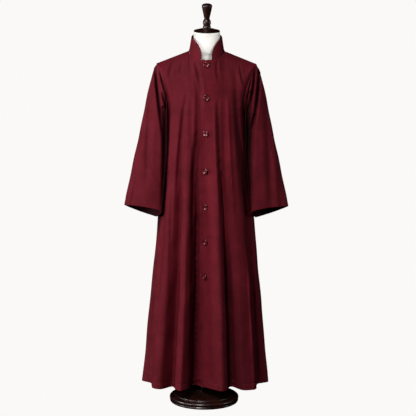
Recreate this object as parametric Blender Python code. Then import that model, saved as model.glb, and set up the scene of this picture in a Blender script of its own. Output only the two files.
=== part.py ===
"""A burgundy cassock worn by a limbless dress form on a turned wooden stand.

Metres, +Z up, the wearer faces -Y, and the origin is the centre of the base's underside.
Every piece of cloth is a wall of even thickness, cut where a tailor would cut it: two fronts that
lap at the centre, a back, two sleeves and a stand collar. The fronts and the back are cut from one
ring of columns that run from the neck, shoulder seams and armholes down to the hem.
"""

import math
from collections import namedtuple

import bmesh
import bpy
import numpy as np
from mathutils import Matrix, Vector

# ---------------------------------------------------------------- cloth
WALL = 0.002
COLLAR_WALL = 0.003
SEAM_GAP = 0.0004

# The places where seams meet, on the +X side.
HEM_HEIGHT = 0.085
CHEST_HEIGHT = 1.280
NECK_HALF_WIDTH = 0.0776
NECK_FRONT = 0.083
NECK_BACK = 0.066
NECK_SIDE_HEIGHT = 1.569
NECK_FRONT_DROP = 0.031
NECK_BACK_RISE = 0.016
SHOULDER_TIP = (0.2146, 0.0, 1.514)
UNDERARM = (0.172, 0.0, 1.300)
ARMHOLE_HALF_DEPTH = 0.062
ARMHOLE_HOLLOW = 0.016

# The body without its folds, as ovals: each row is one height, hem first.
Section = namedtuple("Section", "height half_width front back")
SECTIONS = (
    Section(0.085, 0.270, 0.118, 0.150),
    Section(0.450, 0.2360, 0.124, 0.142),
    Section(0.845, 0.2030, 0.128, 0.131),
    Section(1.060, 0.1870, 0.127, 0.121),
    Section(1.280, 0.1715, 0.121, 0.112),
)

# Where each column leaves the top edge, and how far it runs before it bends to the chest.
# `edge` counts 0 centre front, 1 side neck, 2 shoulder tip, 3 underarm, 4 shoulder tip, 5 side neck and
# 6 centre back.
Launch = namedtuple("Launch", "edge across deep down")
LAUNCHES = (
    Launch(0.00, 0.000, -0.100, -0.200),
    Launch(0.50, 0.020, -0.110, -0.170),
    Launch(0.75, 0.020, -0.170, -0.100),
    Launch(1.00, 0.015, -0.250, -0.045),
    Launch(1.50, -0.010, -0.275, -0.045),
    Launch(1.75, -0.060, -0.285, -0.030),
    Launch(2.00, -0.130, -0.300, 0.000),
    Launch(2.25, -0.085, -0.115, -0.060),
    Launch(2.50, -0.070, -0.045, -0.100),
    Launch(2.75, -0.030, -0.015, -0.075),
    Launch(3.00, 0.000, 0.000, -0.022),
    Launch(3.25, -0.030, 0.015, -0.075),
    Launch(3.50, -0.070, 0.045, -0.100),
    Launch(3.75, -0.085, 0.115, -0.060),
    Launch(4.00, -0.130, 0.300, 0.000),
    Launch(4.25, -0.060, 0.285, -0.030),
    Launch(4.50, -0.010, 0.275, -0.045),
    Launch(5.00, 0.015, 0.250, -0.045),
    Launch(5.25, 0.020, 0.190, -0.100),
    Launch(5.50, 0.010, 0.130, -0.160),
    Launch(6.00, 0.000, 0.100, -0.200),
)

# The folds, round the ring from centre front over the wearer's left side to the back.
# `edge` is the place on the top edge (7 to 12 mirror 5 to 0), `bearing` the degrees round the chest
# from centre front, x and y the place on the hem, and `steps` the columns from here to the next fold.
Fold = namedtuple("Fold", "name edge bearing hem_x hem_y steps")
FOLDS = (
    Fold("centre front", 0.00, 0.0, 0.000, -0.086, 4),
    Fold("left ridge", 0.40, 10.5, 0.072, -0.147, 3),
    Fold("left ridge flank", 0.62, 17.0, 0.099, -0.127, 3),
    Fold("left valley", 0.82, 22.0, 0.113, -0.082, 3),
    Fold("left neck column", 1.00, 27.0, 0.139, -0.104, 3),
    Fold("outer left ridge", 1.35, 36.0, 0.173, -0.131, 3),
    Fold("outer left flank", 1.70, 44.0, 0.208, -0.124, 3),
    Fold("left tip column", 2.00, 51.0, 0.229, -0.100, 4),
    Fold("left side edge", 2.40, 62.0, 0.229, -0.058, 3),
    Fold("left side valley", 2.70, 76.0, 0.243, -0.026, 3),
    Fold("left side seam", 3.00, 90.0, 0.283, 0.006, 4),
    Fold("left back edge", 3.40, 104.0, 0.266, 0.055, 5),
    Fold("left back tip column", 4.00, 129.0, 0.205, 0.082, 3),
    Fold("outer left back ridge", 4.50, 141.0, 0.178, 0.145, 3),
    Fold("left back neck column", 5.00, 153.0, 0.122, 0.115, 3),
    Fold("left back ridge", 5.50, 166.0, 0.068, 0.175, 3),
    Fold("centre back", 6.00, 180.0, 0.000, 0.134, 3),
    Fold("right back ridge", 6.50, 194.0, -0.062, 0.173, 3),
    Fold("right back neck column", 7.00, 207.0, -0.126, 0.122, 3),
    Fold("outer right back ridge", 7.50, 219.0, -0.174, 0.146, 3),
    Fold("right back tip column", 8.00, 231.0, -0.208, 0.080, 5),
    Fold("right back edge", 8.60, 256.0, -0.258, 0.052, 4),
    Fold("right side seam", 9.00, 270.0, -0.276, 0.008, 3),
    Fold("right side valley", 9.30, 284.0, -0.234, -0.030, 3),
    Fold("right side edge", 9.60, 298.0, -0.232, -0.072, 4),
    Fold("right tip column", 10.00, 309.0, -0.225, -0.108, 3),
    Fold("outer right ridge", 10.30, 316.0, -0.190, -0.124, 3),
    Fold("right valley", 10.60, 323.5, -0.141, -0.084, 3),
    Fold("right ridge edge", 10.80, 328.5, -0.124, -0.130, 3),
    Fold("right neck column", 11.00, 333.0, -0.099, -0.149, 3),
    Fold("right ridge flank", 11.30, 340.5, -0.068, -0.102, 3),
    Fold("centre valley", 11.50, 345.5, -0.048, -0.049, 3),
    Fold("front edge", 11.72, 352.5, -0.031, -0.062, 3),
)
EDGE_TURNS = 12.0
BODY_SQUARE = 0.82
FOLDS_START = 1.42
FOLD_ONSET = 1.25
YOKE_ROWS = 7
SKIRT_ROWS = 8

# The wearer's left front laps over the right one as far as its free edge.
UNDERLAP_COLUMNS = 4
UNDERLAP_RAMP = 3
LAP_STEP = WALL + SEAM_GAP

# ---------------------------------------------------------------- sleeves
# The sleeve from armhole to cuff, each row an oval given by its outer and inner point in the front
# view. `lift` is how far the front of the oval stands above its back. The hollows draw its front and
# back inward, so that the front of the sleeve laps before the side of the body.
Cuffward = namedtuple(
    "Cuffward", "outer_x outer_z inner_x inner_z centre_y half_depth lift front_hollow back_hollow")
SLEEVE_SECTIONS = (
    Cuffward(0.2146, 1.514, 0.1720, 1.300, 0.000, 0.062, 0.000, 0.016, 0.016),
    Cuffward(0.2322, 1.474, 0.1800, 1.268, -0.002, 0.068, 0.000, 0.029, 0.020),
    Cuffward(0.2520, 1.385, 0.1865, 1.215, -0.004, 0.071, 0.002, 0.044, 0.008),
    Cuffward(0.2860, 1.225, 0.1920, 1.115, -0.007, 0.072, 0.006, 0.059, 0.000),
    Cuffward(0.3230, 1.050, 0.2010, 0.985, -0.012, 0.068, 0.012, 0.069, 0.000),
    Cuffward(0.3556, 0.892, 0.2135, 0.861, -0.016, 0.060, 0.018, 0.077, 0.000),
)
SLEEVE_ROWS = 13
SLEEVE_STAND_OFF = 0.0007
LEFT_SWING = 0.005
RIGHT_SWING = -0.003

# Folds in the sleeve heads, as troughs in the front view from the shoulder tip down.
# Each starts, bends and ends at (x, z) on the +X side and goes `depth` into the cloth.
Trough = namedtuple("Trough", "x0 z0 x1 z1 x2 z2 width depth")
SLEEVE_TROUGHS = (
    Trough(0.2115, 1.503, 0.206, 1.344, 0.165, 1.140, 0.015, 0.013),
    Trough(0.196, 1.440, 0.182, 1.360, 0.182, 1.270, 0.012, 0.006),
)

# ---------------------------------------------------------------- collar
COLLAR_TOP_HALF_WIDTH = 0.0662
COLLAR_TOP_FRONT = 0.068
COLLAR_TOP_BACK = 0.0625
COLLAR_TOP_SIDE_HEIGHT = 1.630
COLLAR_TOP_BACK_RISE = 0.012
COLLAR_FRONT_BEARING = 17.5
COLLAR_FULL_BEARING = 80.0
COLLAR_FRONT_HEIGHT = 0.016
COLLAR_COLUMNS = 40
COLLAR_ROWS = 4

# ---------------------------------------------------------------- buttons
BUTTON_HEIGHTS = (1.5250, 1.3860, 1.2300, 1.0640, 0.9040, 0.7470, 0.5900)
BUTTON_SEGMENTS = 16
# The turned section of a button, from the middle of its face to the middle of its back.
BUTTON_PROFILE = ((0.0, 0.0026), (0.0074, 0.0028), (0.0096, 0.0044), (0.0118, 0.0040),
                  (0.0125, 0.0026), (0.0112, 0.0006), (0.0, 0.0))

# ---------------------------------------------------------------- dress form and stand
FORM_CLEARANCE = 0.0006
# Each row is an oval of the form; the higher its `taper`, the sharper its two side ends.
Girth = namedtuple("Girth", "height half_width front back taper")
FORM_GIRTHS = (
    Girth(0.8200, 0.140, 0.070, 0.096, 1.0),
    Girth(0.8300, 0.148, 0.077, 0.103, 1.0),
    Girth(0.9000, 0.154, 0.083, 0.109, 1.0),
    Girth(0.9800, 0.146, 0.086, 0.102, 1.0),
    Girth(1.1000, 0.124, 0.082, 0.086, 1.0),
    Girth(1.2000, 0.134, 0.096, 0.090, 1.0),
    Girth(1.3000, 0.148, 0.108, 0.096, 1.0),
    Girth(1.3800, 0.154, 0.102, 0.094, 1.1),
    Girth(1.4400, 0.164, 0.086, 0.082, 1.3),
    Girth(1.4850, 0.178, 0.068, 0.064, 1.6),
)
FORM_SHOULDER_END = 0.186
FORM_SHOULDER_FRONT = 0.036
FORM_SHOULDER_BACK = 0.036
FORM_SHOULDER_TAPER = 2.4
FORM_NECK_BASE_FRONT = 0.044
FORM_NECK_BASE_BACK = 0.044
FORM_NECK_RADIUS = 0.0566
FORM_NECK_TOP = 1.6545
# Where the shoulders turn up into the neck: how much wider and shallower each oval is than the neck, at
# its height over the side of the neckline.
FORM_NECK_ROOT = (
    Girth(-0.006, 0.017, -0.008, -0.006, 1.6),
    Girth(0.004, 0.006, -0.002, -0.003, 1.1),
    Girth(0.022, 0.001, 0.000, -0.001, 1.0),
)
FORM_SEGMENTS = 40

WOOD_GAP = 0.0003
WOOD_SEGMENTS = 36
FINIAL_SEGMENTS = 22
# Turned sections as (radius, height) from the axis at the top to the axis at the bottom.
CAP_PROFILE = ((0.0, 0.0118), (0.0190, 0.0112), (0.0340, 0.0098), (0.0365, 0.0082), (0.0480, 0.0056),
               (0.0560, 0.0034), (0.0568, 0.0014), (0.0545, 0.0), (0.0, 0.0))
FINIAL_PROFILE = ((0.0, 0.1090), (0.0100, 0.1082), (0.0190, 0.1050), (0.0224, 0.1010),
                  (0.0226, 0.0970), (0.0170, 0.0690), (0.0118, 0.0450), (0.0112, 0.0410),
                  (0.0150, 0.0350), (0.0176, 0.0275), (0.0172, 0.0210), (0.0150, 0.0150),
                  (0.0150, 0.0110), (0.0168, 0.0090), (0.0172, 0.0040), (0.0164, 0.0), (0.0, 0.0))
BASE_PROFILE = ((0.0, 0.0560), (0.0330, 0.0560), (0.0362, 0.0535), (0.0365, 0.0500),
                (0.0340, 0.0470), (0.0600, 0.0445), (0.1000, 0.0400), (0.1230, 0.0365),
                (0.1290, 0.0350), (0.1310, 0.0325), (0.1320, 0.0290), (0.1400, 0.0285),
                (0.1480, 0.0262), (0.1520, 0.0220), (0.1525, 0.0160), (0.1500, 0.0110),
                (0.1512, 0.0070), (0.1500, 0.0020), (0.1475, 0.0), (0.0, 0.0))
POLE_RADIUS = 0.0175


# ================================================================ curves
def hermite(first, last, first_slope, last_slope, t):
    """The cubic between two points with given slopes, at 0 <= t <= 1."""
    return (
        (2 * t**3 - 3 * t**2 + 1) * first
        + (t**3 - 2 * t**2 + t) * first_slope
        + (3 * t**2 - 2 * t**3) * last
        + (t**3 - t**2) * last_slope
    )


def smooth_rows(knots, rows, at):
    """Rows of numbers read at other places, along cubics that pass through each row."""
    knots, rows = np.asarray(knots, float), np.asarray(rows, float)
    slopes = np.gradient(rows, knots, axis=0)
    at = np.atleast_1d(at)
    i = np.clip(np.searchsorted(knots, at, side="right") - 1, 0, len(knots) - 2)
    span = (knots[i + 1] - knots[i])[:, None]
    t = (at[:, None] - knots[i][:, None]) / span
    return hermite(rows[i], rows[i + 1], slopes[i] * span, slopes[i + 1] * span, t)


def round_the_ring(rows, turns, steps):
    """A closed spline through the rows, whose first numbers grow by `turns` each time round."""
    rows = np.asarray(rows, float)
    before, after = rows[-1].copy(), rows[:2].copy()
    before[: len(turns)] -= turns
    after[:, : len(turns)] += turns
    rows = np.vstack([before, rows, after])
    points = []
    for a, b, c, d, count in zip(rows, rows[1:], rows[2:], rows[3:], steps):
        for k in range(count):
            points.append(hermite(b, c, (c - a) / 2, (d - b) / 2, k / count))
    return np.array(points)


def oval(half_width, front, back, bearing, square=1.0):
    """The x and y of an oval at a bearing from the front, in radians; a low `square` is boxier."""
    cosine = np.cos(bearing)
    deep = np.where(cosine > 0, front, back) * np.sign(cosine) * np.abs(cosine) ** square
    return np.stack([half_width * np.sin(bearing), -deep], axis=-1)


# ================================================================ the body's ring of columns
def armhole_point(turn):
    """The armhole on the +X side: 0 at the shoulder tip, pi at the underarm, the front between them."""
    tip, under = np.array(SHOULDER_TIP), np.array(UNDERARM)
    sine = math.sin(turn)
    scoop = np.array([-ARMHOLE_HOLLOW * sine**2, -ARMHOLE_HALF_DEPTH * sine, 0.0])
    return (tip + under) / 2 + math.cos(turn) * (tip - under) / 2 + scoop


def neck_point(turn):
    """The neckline: 0 at centre front, pi / 2 at the +X side and pi at centre back."""
    x, y = oval(NECK_HALF_WIDTH, NECK_FRONT, NECK_BACK, turn)
    rise = -NECK_FRONT_DROP if math.cos(turn) > 0 else -NECK_BACK_RISE
    return np.array([x, y, NECK_SIDE_HEIGHT + rise * math.cos(turn)])


def top_point(edge):
    """A point of the body's top edge. Past 6 it is the mirror image of 12 minus that edge."""
    edge %= EDGE_TURNS
    if edge > EDGE_TURNS / 2:
        return top_point(EDGE_TURNS - edge) * (-1, 1, 1)
    side_neck, tip = neck_point(math.pi / 2), np.array(SHOULDER_TIP)
    if edge <= 1:
        return neck_point(edge * math.pi / 2)
    if edge <= 2:
        return side_neck + (tip - side_neck) * (edge - 1)
    if edge <= 4:
        return armhole_point((edge - 2) * math.pi)
    if edge <= 5:
        return tip + (side_neck - tip) * (edge - 4)
    return neck_point((edge - 4) * math.pi / 2)


def launch(edge):
    """The direction and reach with which a column leaves the top edge."""
    edge %= EDGE_TURNS
    if edge > EDGE_TURNS / 2:
        return launch(EDGE_TURNS - edge) * (-1, 1, 1)
    table = np.array(LAUNCHES)
    return smooth_rows(table[:, 0], table[:, 1:], edge)[0]


def plain_body(bearing, height):
    """The unfolded body at a bearing, in radians, for each height."""
    table = np.array(SECTIONS)
    half_width, front, back = smooth_rows(table[:, 0], table[:, 1:], height).T
    across_deep = oval(half_width, front, back, bearing, BODY_SQUARE)
    return np.column_stack([across_deep, np.atleast_1d(height)])


def fold_growth(height, start):
    """The share of its full depth that a fold has: none where it starts, and all of it at the hem."""
    fallen = np.clip((start - height) / (start - HEM_HEIGHT), 0, 1)
    return np.sin(fallen * math.pi / 2) ** FOLD_ONSET


def column(edge, bearing, hem_x, hem_y):
    """One column of the body from the top edge to the hem."""
    bearing = math.radians(bearing)
    skirt_heights = CHEST_HEIGHT + (HEM_HEIGHT - CHEST_HEIGHT) * np.linspace(0, 1, SKIRT_ROWS + 1)
    skirt = plain_body(bearing, skirt_heights)
    top, chest = top_point(edge), skirt[0]
    fall = (skirt[1] - skirt[0]) / np.linalg.norm(skirt[1] - skirt[0]) * np.linalg.norm(top - chest)
    t = np.linspace(0, 1, YOKE_ROWS + 1)[:-1, None]
    points = np.vstack([hermite(top, chest, launch(edge), fall, t), skirt])
    full_fold = np.array([hem_x, hem_y, HEM_HEIGHT]) - skirt[-1]
    growth = fold_growth(points[:, 2], min(FOLDS_START, top[2]))
    return points + growth[:, None] * full_fold


def grid_normals(grid, closed):
    """Outward normals of a grid whose columns run down, and follow each other anticlockwise from above."""
    down = np.gradient(grid, axis=0)
    if closed:
        around = np.roll(grid, -1, axis=1) - np.roll(grid, 1, axis=1)
    else:
        around = np.gradient(grid, axis=1)
    normals = np.cross(down, around)
    return normals / np.linalg.norm(normals, axis=2, keepdims=True)


def body_ring():
    """The whole body as (points, normals, edges): rows run down, and columns go round the wearer."""
    rows = [(f.edge, f.bearing, f.hem_x, f.hem_y) for f in FOLDS]
    columns = round_the_ring(rows, np.array([EDGE_TURNS, 360.0]), [f.steps for f in FOLDS])
    grid = np.array([column(*c) for c in columns]).transpose(1, 0, 2)
    normals = grid_normals(grid, closed=True)
    seam = np.array(SHOULDER_TIP) - neck_point(math.pi / 2)
    upright = np.array([-seam[2], 0.0, seam[0]]) / np.linalg.norm(seam)
    for i, edge in enumerate(columns[:, 0] % EDGE_TURNS):
        side = 1 if edge <= EDGE_TURNS / 2 else -1
        half = edge if side > 0 else EDGE_TURNS - edge
        if 0.999 <= half <= 2.001 or 3.999 <= half <= 5.001:
            normals[0, i] = upright * (side, 1, 1)
    return grid, normals, columns[:, 0]


# ================================================================ solids
def finish_object(name, mesh, material):
    """A named object of a mesh, smooth but for its real edges."""
    mesh.materials.append(material)
    mesh.shade_smooth()
    mesh.set_sharp_from_angle(angle=math.radians(50))
    made = bpy.data.objects.new(name, mesh)
    bpy.context.scene.collection.objects.link(made)
    return made


def wall(name, outer, inner, material, closed=False):
    """A closed wall between two grids of points; closed grids run all the way round."""
    rows, cols = outer.shape[:2]
    count = rows * cols
    vertices = np.vstack([outer.reshape(-1, 3), inner.reshape(-1, 3)])
    faces = []
    spans = cols if closed else cols - 1

    def quad(a, b, c, d):
        faces.extend([(a, b, c), (a, c, d)])

    for r in range(rows - 1):
        for c in range(spans):
            a, b = r * cols + c, r * cols + (c + 1) % cols
            faces.extend([(a, a + cols, b + cols), (a, b + cols, b)])
            a, b = a + count, b + count
            faces.extend([(a, b + cols, a + cols), (a, b, b + cols)])
    for c in range(spans):
        a, b = c, (c + 1) % cols
        quad(a, b, b + count, a + count)
        a, b = a + (rows - 1) * cols, b + (rows - 1) * cols
        quad(b, a, a + count, b + count)
    if not closed:
        for r in range(rows - 1):
            a, b = r * cols, (r + 1) * cols
            quad(b, a, a + count, b + count)
            a, b = a + cols - 1, b + cols - 1
            quad(a, b, b + count, a + count)
    mesh = bpy.data.meshes.new(name)
    mesh.from_pydata(vertices.tolist(), [], faces)
    return finish_object(name, mesh, material)


def turned(name, profile, segments, material, place=Matrix.Identity(4)):
    """A solid turned from a section that starts and ends on its axis."""
    shape = bmesh.new()
    verts = [shape.verts.new((radius, 0.0, height)) for radius, height in profile]
    edges = [shape.edges.new(pair) for pair in zip(verts, verts[1:])]
    bmesh.ops.spin(shape, geom=verts + edges, cent=(0, 0, 0), axis=(0, 0, 1), angle=math.tau,
                   steps=segments, use_merge=True)
    bmesh.ops.remove_doubles(shape, verts=shape.verts, dist=1e-6)
    bmesh.ops.recalc_face_normals(shape, faces=shape.faces)
    bmesh.ops.transform(shape, matrix=place, verts=shape.verts)
    mesh = bpy.data.meshes.new(name)
    shape.to_mesh(mesh)
    shape.free()
    return finish_object(name, mesh, material)


def drawn_back(grid, edge, by):
    """The grid with one of its four edges drawn back along the cloth, to leave a seam's gap."""
    grid = grid.copy()
    view = {"first": grid, "last": grid[:, ::-1], "top": grid.transpose(1, 0, 2)}[edge]
    step = view[:, 1] - view[:, 0]
    view[:, 0] += step / np.linalg.norm(step, axis=1, keepdims=True) * by
    return grid


# ================================================================ the cassock
def panel(name, ring, first, last, material, inward=None):
    """A piece of the body from one column to another, drawn back at its seams."""
    grid, normals, _ = ring
    picked = np.arange(first, last + 1) % grid.shape[1]
    outer, facing = grid[:, picked], normals[:, picked]
    if inward is not None:
        outer = outer - facing * inward[None, :, None]
    inner = outer - facing * WALL
    for edge in ("first", "last", "top"):
        outer, inner = (drawn_back(side, edge, SEAM_GAP / 2) for side in (outer, inner))
    return wall(name, outer, inner, material)


def column_of(ring, edge):
    """The number of the column that leaves the top edge there."""
    return int(np.argmin(np.abs(ring[2] - edge)))


def make_body(ring, material):
    """The two fronts and the back."""
    count = ring[0].shape[1]
    left_side, right_side = column_of(ring, 3.0), column_of(ring, 9.0)
    free_edge = column_of(ring, 11.72)
    panel("front_left", ring, free_edge, left_side + count, material)
    panel("back", ring, left_side, right_side, material)
    last = free_edge + UNDERLAP_COLUMNS
    under = np.clip((np.arange(right_side, last + 1) - free_edge + UNDERLAP_RAMP) / UNDERLAP_RAMP, 0, 1)
    eased = under * under * (3 - 2 * under)
    panel("front_right", ring, right_side, last, material, inward=eased * LAP_STEP)


def trough_depth(trough, x, z):
    """How deep a trough goes at points of the front view: full on its line, and nothing beside it."""
    t = np.linspace(0, 1, 40)[:, None]
    start = np.array([trough.x0, trough.z0])
    bend = np.array([trough.x1, trough.z1])
    end = np.array([trough.x2, trough.z2])
    line = (1 - t) ** 2 * start + 2 * t * (1 - t) * bend + t**2 * end
    away = np.hypot(x[..., None] - line[:, 0], z[..., None] - line[:, 1])
    nearest = away.argmin(axis=-1)
    taper = np.sin(math.pi * np.clip(t[nearest, 0], 0.02, 0.98)) ** 0.5
    return trough.depth * taper * np.exp(-((away.min(axis=-1) / trough.width) ** 2) * 2)


def armhole_turns(ring, side):
    """The armhole's angles where the body's columns leave it, from the shoulder tip over the back."""
    edges = ring[2] if side > 0 else EDGE_TURNS - ring[2]
    turns = np.sort((edges[(edges > 2.001) & (edges < 3.999)] - 2) * math.pi)
    return np.append(math.tau, turns[::-1])


def sleeve_grid(turns, swing):
    """The sleeve on the +X side as a closed grid of outer points, rows from the armhole to the cuff.

    Every second column starts where a column of the body does, and the others halfway between two.
    """
    halfway = (turns + np.append(turns[1:], 0.0)) / 2
    turn = np.column_stack([turns, halfway]).ravel()
    table = np.array(SLEEVE_SECTIONS)
    rows = smooth_rows(np.linspace(0, 1, len(table)), table, np.linspace(0, 1, SLEEVE_ROWS))
    grid = np.empty((SLEEVE_ROWS, len(turn), 3))
    for r, (ox, oz, ix, iz, centre_y, half_depth, lift, *hollows) in enumerate(rows):
        cosine, sine = np.cos(turn), np.sin(turn)
        hollow = np.where(sine > 0, *hollows)
        shift = SLEEVE_STAND_OFF + swing * (r / (SLEEVE_ROWS - 1)) ** 1.5
        grid[r, :, 0] = (ox + ix) / 2 + (ox - ix) / 2 * cosine - hollow * sine**2 + shift
        grid[r, :, 1] = centre_y - half_depth * sine
        grid[r, :, 2] = (oz + iz) / 2 + (oz - iz) / 2 * cosine + lift * sine
    grid[0, 1::2] = (grid[0, ::2] + np.roll(grid[0, ::2], -1, axis=0)) / 2
    return grid, turn


def make_sleeve(name, side, swing, ring, material):
    """A sleeve; side is 1 on the wearer's left and -1 on the right."""
    grid, turn = sleeve_grid(armhole_turns(ring, side), swing)
    facing_front = np.clip(np.sin(turn), 0, 1) ** 0.5
    depth = sum(trough_depth(t, grid[..., 0], grid[..., 2]) for t in SLEEVE_TROUGHS)
    head = np.clip(np.arange(SLEEVE_ROWS) / 2, 0, 1)[:, None]
    grid[..., 1] += depth * facing_front * head
    normals = grid_normals(grid, closed=True)
    centre = grid[0].mean(axis=0)
    half_height = (SHOULDER_TIP[2] - UNDERARM[2]) / 2
    radial = (grid[0] - centre) / (1.0, ARMHOLE_HALF_DEPTH**2, half_height**2)
    radial[:, 0] = 0.0
    normals[0] = radial / np.linalg.norm(radial, axis=1, keepdims=True)
    inner = grid - normals * WALL
    if side < 0:
        grid, inner = grid[:, ::-1] * (-1, 1, 1), inner[:, ::-1] * (-1, 1, 1)
    return wall(name, grid, inner, material, closed=True)


def collar_height(bearing):
    """The share of the collar's full height at a bearing, rounded off at its two front corners."""
    first, full = math.radians(COLLAR_FRONT_BEARING), math.radians(COLLAR_FULL_BEARING)
    share = np.clip((np.minimum(bearing, math.tau - bearing) - first) / (full - first), 0, 1)
    return np.sqrt(1 - (1 - share) ** 2)


def collar_grid():
    """The stand collar's outer points, from its top edge down to its seam, round from front to front."""
    first = math.radians(COLLAR_FRONT_BEARING)
    spread = np.linspace(-1, 1, COLLAR_COLUMNS + 1)
    eased = np.sign(spread) * (1 - (1 - np.abs(spread)) ** 1.35)
    bearing = math.pi + eased * (math.pi - first)
    base = np.array([neck_point(turn) for turn in np.minimum(bearing, math.tau - bearing)])
    base[:, 0] *= np.where(bearing <= math.pi, 1, -1)
    base[:, 2] += SEAM_GAP
    top_plan = oval(COLLAR_TOP_HALF_WIDTH, COLLAR_TOP_FRONT, COLLAR_TOP_BACK, bearing)
    top_height = COLLAR_TOP_SIDE_HEIGHT - np.minimum(np.cos(bearing), 0) * COLLAR_TOP_BACK_RISE
    top = np.column_stack([top_plan, top_height])
    floor_share = COLLAR_FRONT_HEIGHT / (COLLAR_TOP_SIDE_HEIGHT - NECK_SIDE_HEIGHT + NECK_FRONT_DROP)
    share = floor_share + (1 - floor_share) * collar_height(bearing)
    up = np.linspace(0, 1, COLLAR_ROWS + 1)[:, None]
    return np.array([base + (top - base) * (share * u)[:, None] for u in up[:, 0]])[::-1]


def make_collar(material):
    """The stand collar, open at the front."""
    outer = collar_grid()
    normals = grid_normals(outer, closed=False)
    level = normals.copy()
    level[..., 2] = 0
    level /= np.linalg.norm(level, axis=2, keepdims=True)
    return wall("collar", outer, outer - level * COLLAR_WALL, material)


def make_buttons(ring, material):
    """Seven buttons down the centre front, each square to the cloth under it."""
    grid, normals, _ = ring
    middle = column_of(ring, 0.0)
    heights = grid[::-1, middle, 2]
    for number, height in enumerate(BUTTON_HEIGHTS, 1):
        place = smooth_rows(heights, grid[::-1, middle], height)[0]
        facing = Vector(smooth_rows(heights, normals[::-1, middle], height)[0]).normalized()
        turn = facing.to_track_quat("Z", "Y").to_matrix().to_4x4()
        lifted = Matrix.Translation(Vector(place) + facing * SEAM_GAP)
        turned(f"button_{number}", BUTTON_PROFILE, BUTTON_SEGMENTS, material, lifted @ turn)


# ================================================================ the dress form and its stand
SHOULDER_SLOPE = (NECK_SIDE_HEIGHT - SHOULDER_TIP[2]) / (SHOULDER_TIP[0] - NECK_HALF_WIDTH)


def shoulder_reach(height):
    """How far out the form reaches under the shoulder seam at a height."""
    under_cloth = (WALL + FORM_CLEARANCE) / math.cos(math.atan(SHOULDER_SLOPE))
    return NECK_HALF_WIDTH + (NECK_SIDE_HEIGHT - under_cloth - height) / SHOULDER_SLOPE


def form_girths():
    """The form's ovals from the bottom to the top of its neck, with the shoulders cut to the seam."""
    girths = list(FORM_GIRTHS)
    fall = (FORM_SHOULDER_END - NECK_HALF_WIDTH) * SHOULDER_SLOPE
    low = NECK_SIDE_HEIGHT - fall - (WALL + FORM_CLEARANCE) * 1.1
    high = NECK_SIDE_HEIGHT - 0.013
    for share in np.linspace(0, 1, 5):
        height = low + (high - low) * share
        front = FORM_SHOULDER_FRONT + (FORM_NECK_BASE_FRONT - FORM_SHOULDER_FRONT) * share
        back = FORM_SHOULDER_BACK + (FORM_NECK_BASE_BACK - FORM_SHOULDER_BACK) * share
        girths.append(Girth(height, shoulder_reach(height), front, back, FORM_SHOULDER_TAPER))
    neck = FORM_NECK_RADIUS
    for over, wider, front, back, taper in FORM_NECK_ROOT:
        girths.append(Girth(NECK_SIDE_HEIGHT + over, neck + wider, neck + front, neck + back, taper))
    girths.append(Girth(FORM_NECK_TOP, neck, neck, neck, 1.0))
    return girths


def girth_point(girth, bearing):
    """A point of one of the form's ovals."""
    cosine = math.cos(bearing)
    deep = (girth.front if cosine > 0 else girth.back) * abs(cosine) ** girth.taper
    return girth.half_width * math.sin(bearing), -math.copysign(deep, cosine), girth.height


def make_form(material):
    """The padded form from its hips to the top of its neck, smooth and closed."""
    shape = bmesh.new()
    rings = []
    for girth in form_girths():
        bearings = [-math.tau * i / FORM_SEGMENTS for i in range(FORM_SEGMENTS)]
        rings.append([shape.verts.new(girth_point(girth, bearing)) for bearing in bearings])
    for lower, upper in zip(rings, rings[1:]):
        for i in range(FORM_SEGMENTS):
            j = (i + 1) % FORM_SEGMENTS
            shape.faces.new((lower[i], lower[j], upper[j], upper[i]))
    shape.faces.new(rings[0][::-1])
    shape.faces.new(rings[-1])
    bmesh.ops.recalc_face_normals(shape, faces=shape.faces)
    mesh = bpy.data.meshes.new("form")
    shape.to_mesh(mesh)
    shape.free()
    return finish_object("form", mesh, material)


def make_stand(material):
    """The turned base, the pole, and the cap and finial on the neck."""
    turned("base", BASE_PROFILE, WOOD_SEGMENTS, material)
    pole_top = FORM_GIRTHS[0].height - WOOD_GAP
    pole_bottom = BASE_PROFILE[0][1] + WOOD_GAP
    pole = ((0.0, pole_top), (POLE_RADIUS, pole_top), (POLE_RADIUS, pole_bottom), (0.0, pole_bottom))
    turned("pole", pole, WOOD_SEGMENTS // 2, material)
    cap_bottom = FORM_NECK_TOP + WOOD_GAP
    cap_place = Matrix.Translation((0, 0, cap_bottom))
    turned("neck_cap", CAP_PROFILE, WOOD_SEGMENTS, material, cap_place)
    finial_place = Matrix.Translation((0, 0, cap_bottom + CAP_PROFILE[0][1] + WOOD_GAP))
    turned("finial", FINIAL_PROFILE, FINIAL_SEGMENTS, material, finial_place)


# ================================================================ the whole
def make_material(name, colour, roughness):
    """A Principled BSDF of one colour."""
    material = bpy.data.materials.new(name)
    material.use_nodes = True
    shader = material.node_tree.nodes["Principled BSDF"]
    shader.inputs["Base Color"].default_value = (*colour, 1.0)
    shader.inputs["Roughness"].default_value = roughness
    shader.inputs["Metallic"].default_value = 0.0
    return material


def main():
    for old in list(bpy.data.objects):
        bpy.data.objects.remove(old)
    cloth = make_material("burgundy_gabardine", (0.115, 0.012, 0.020), 0.75)
    button = make_material("burgundy_button", (0.095, 0.010, 0.016), 0.25)
    linen = make_material("cream_cotton", (0.85, 0.83, 0.78), 0.85)
    wood = make_material("dark_walnut", (0.030, 0.010, 0.006), 0.25)
    ring = body_ring()
    make_body(ring, cloth)
    make_sleeve("sleeve_left", 1, LEFT_SWING, ring, cloth)
    make_sleeve("sleeve_right", -1, RIGHT_SWING, ring, cloth)
    make_collar(cloth)
    make_buttons(ring, button)
    make_form(linen)
    make_stand(wood)


main()
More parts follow.
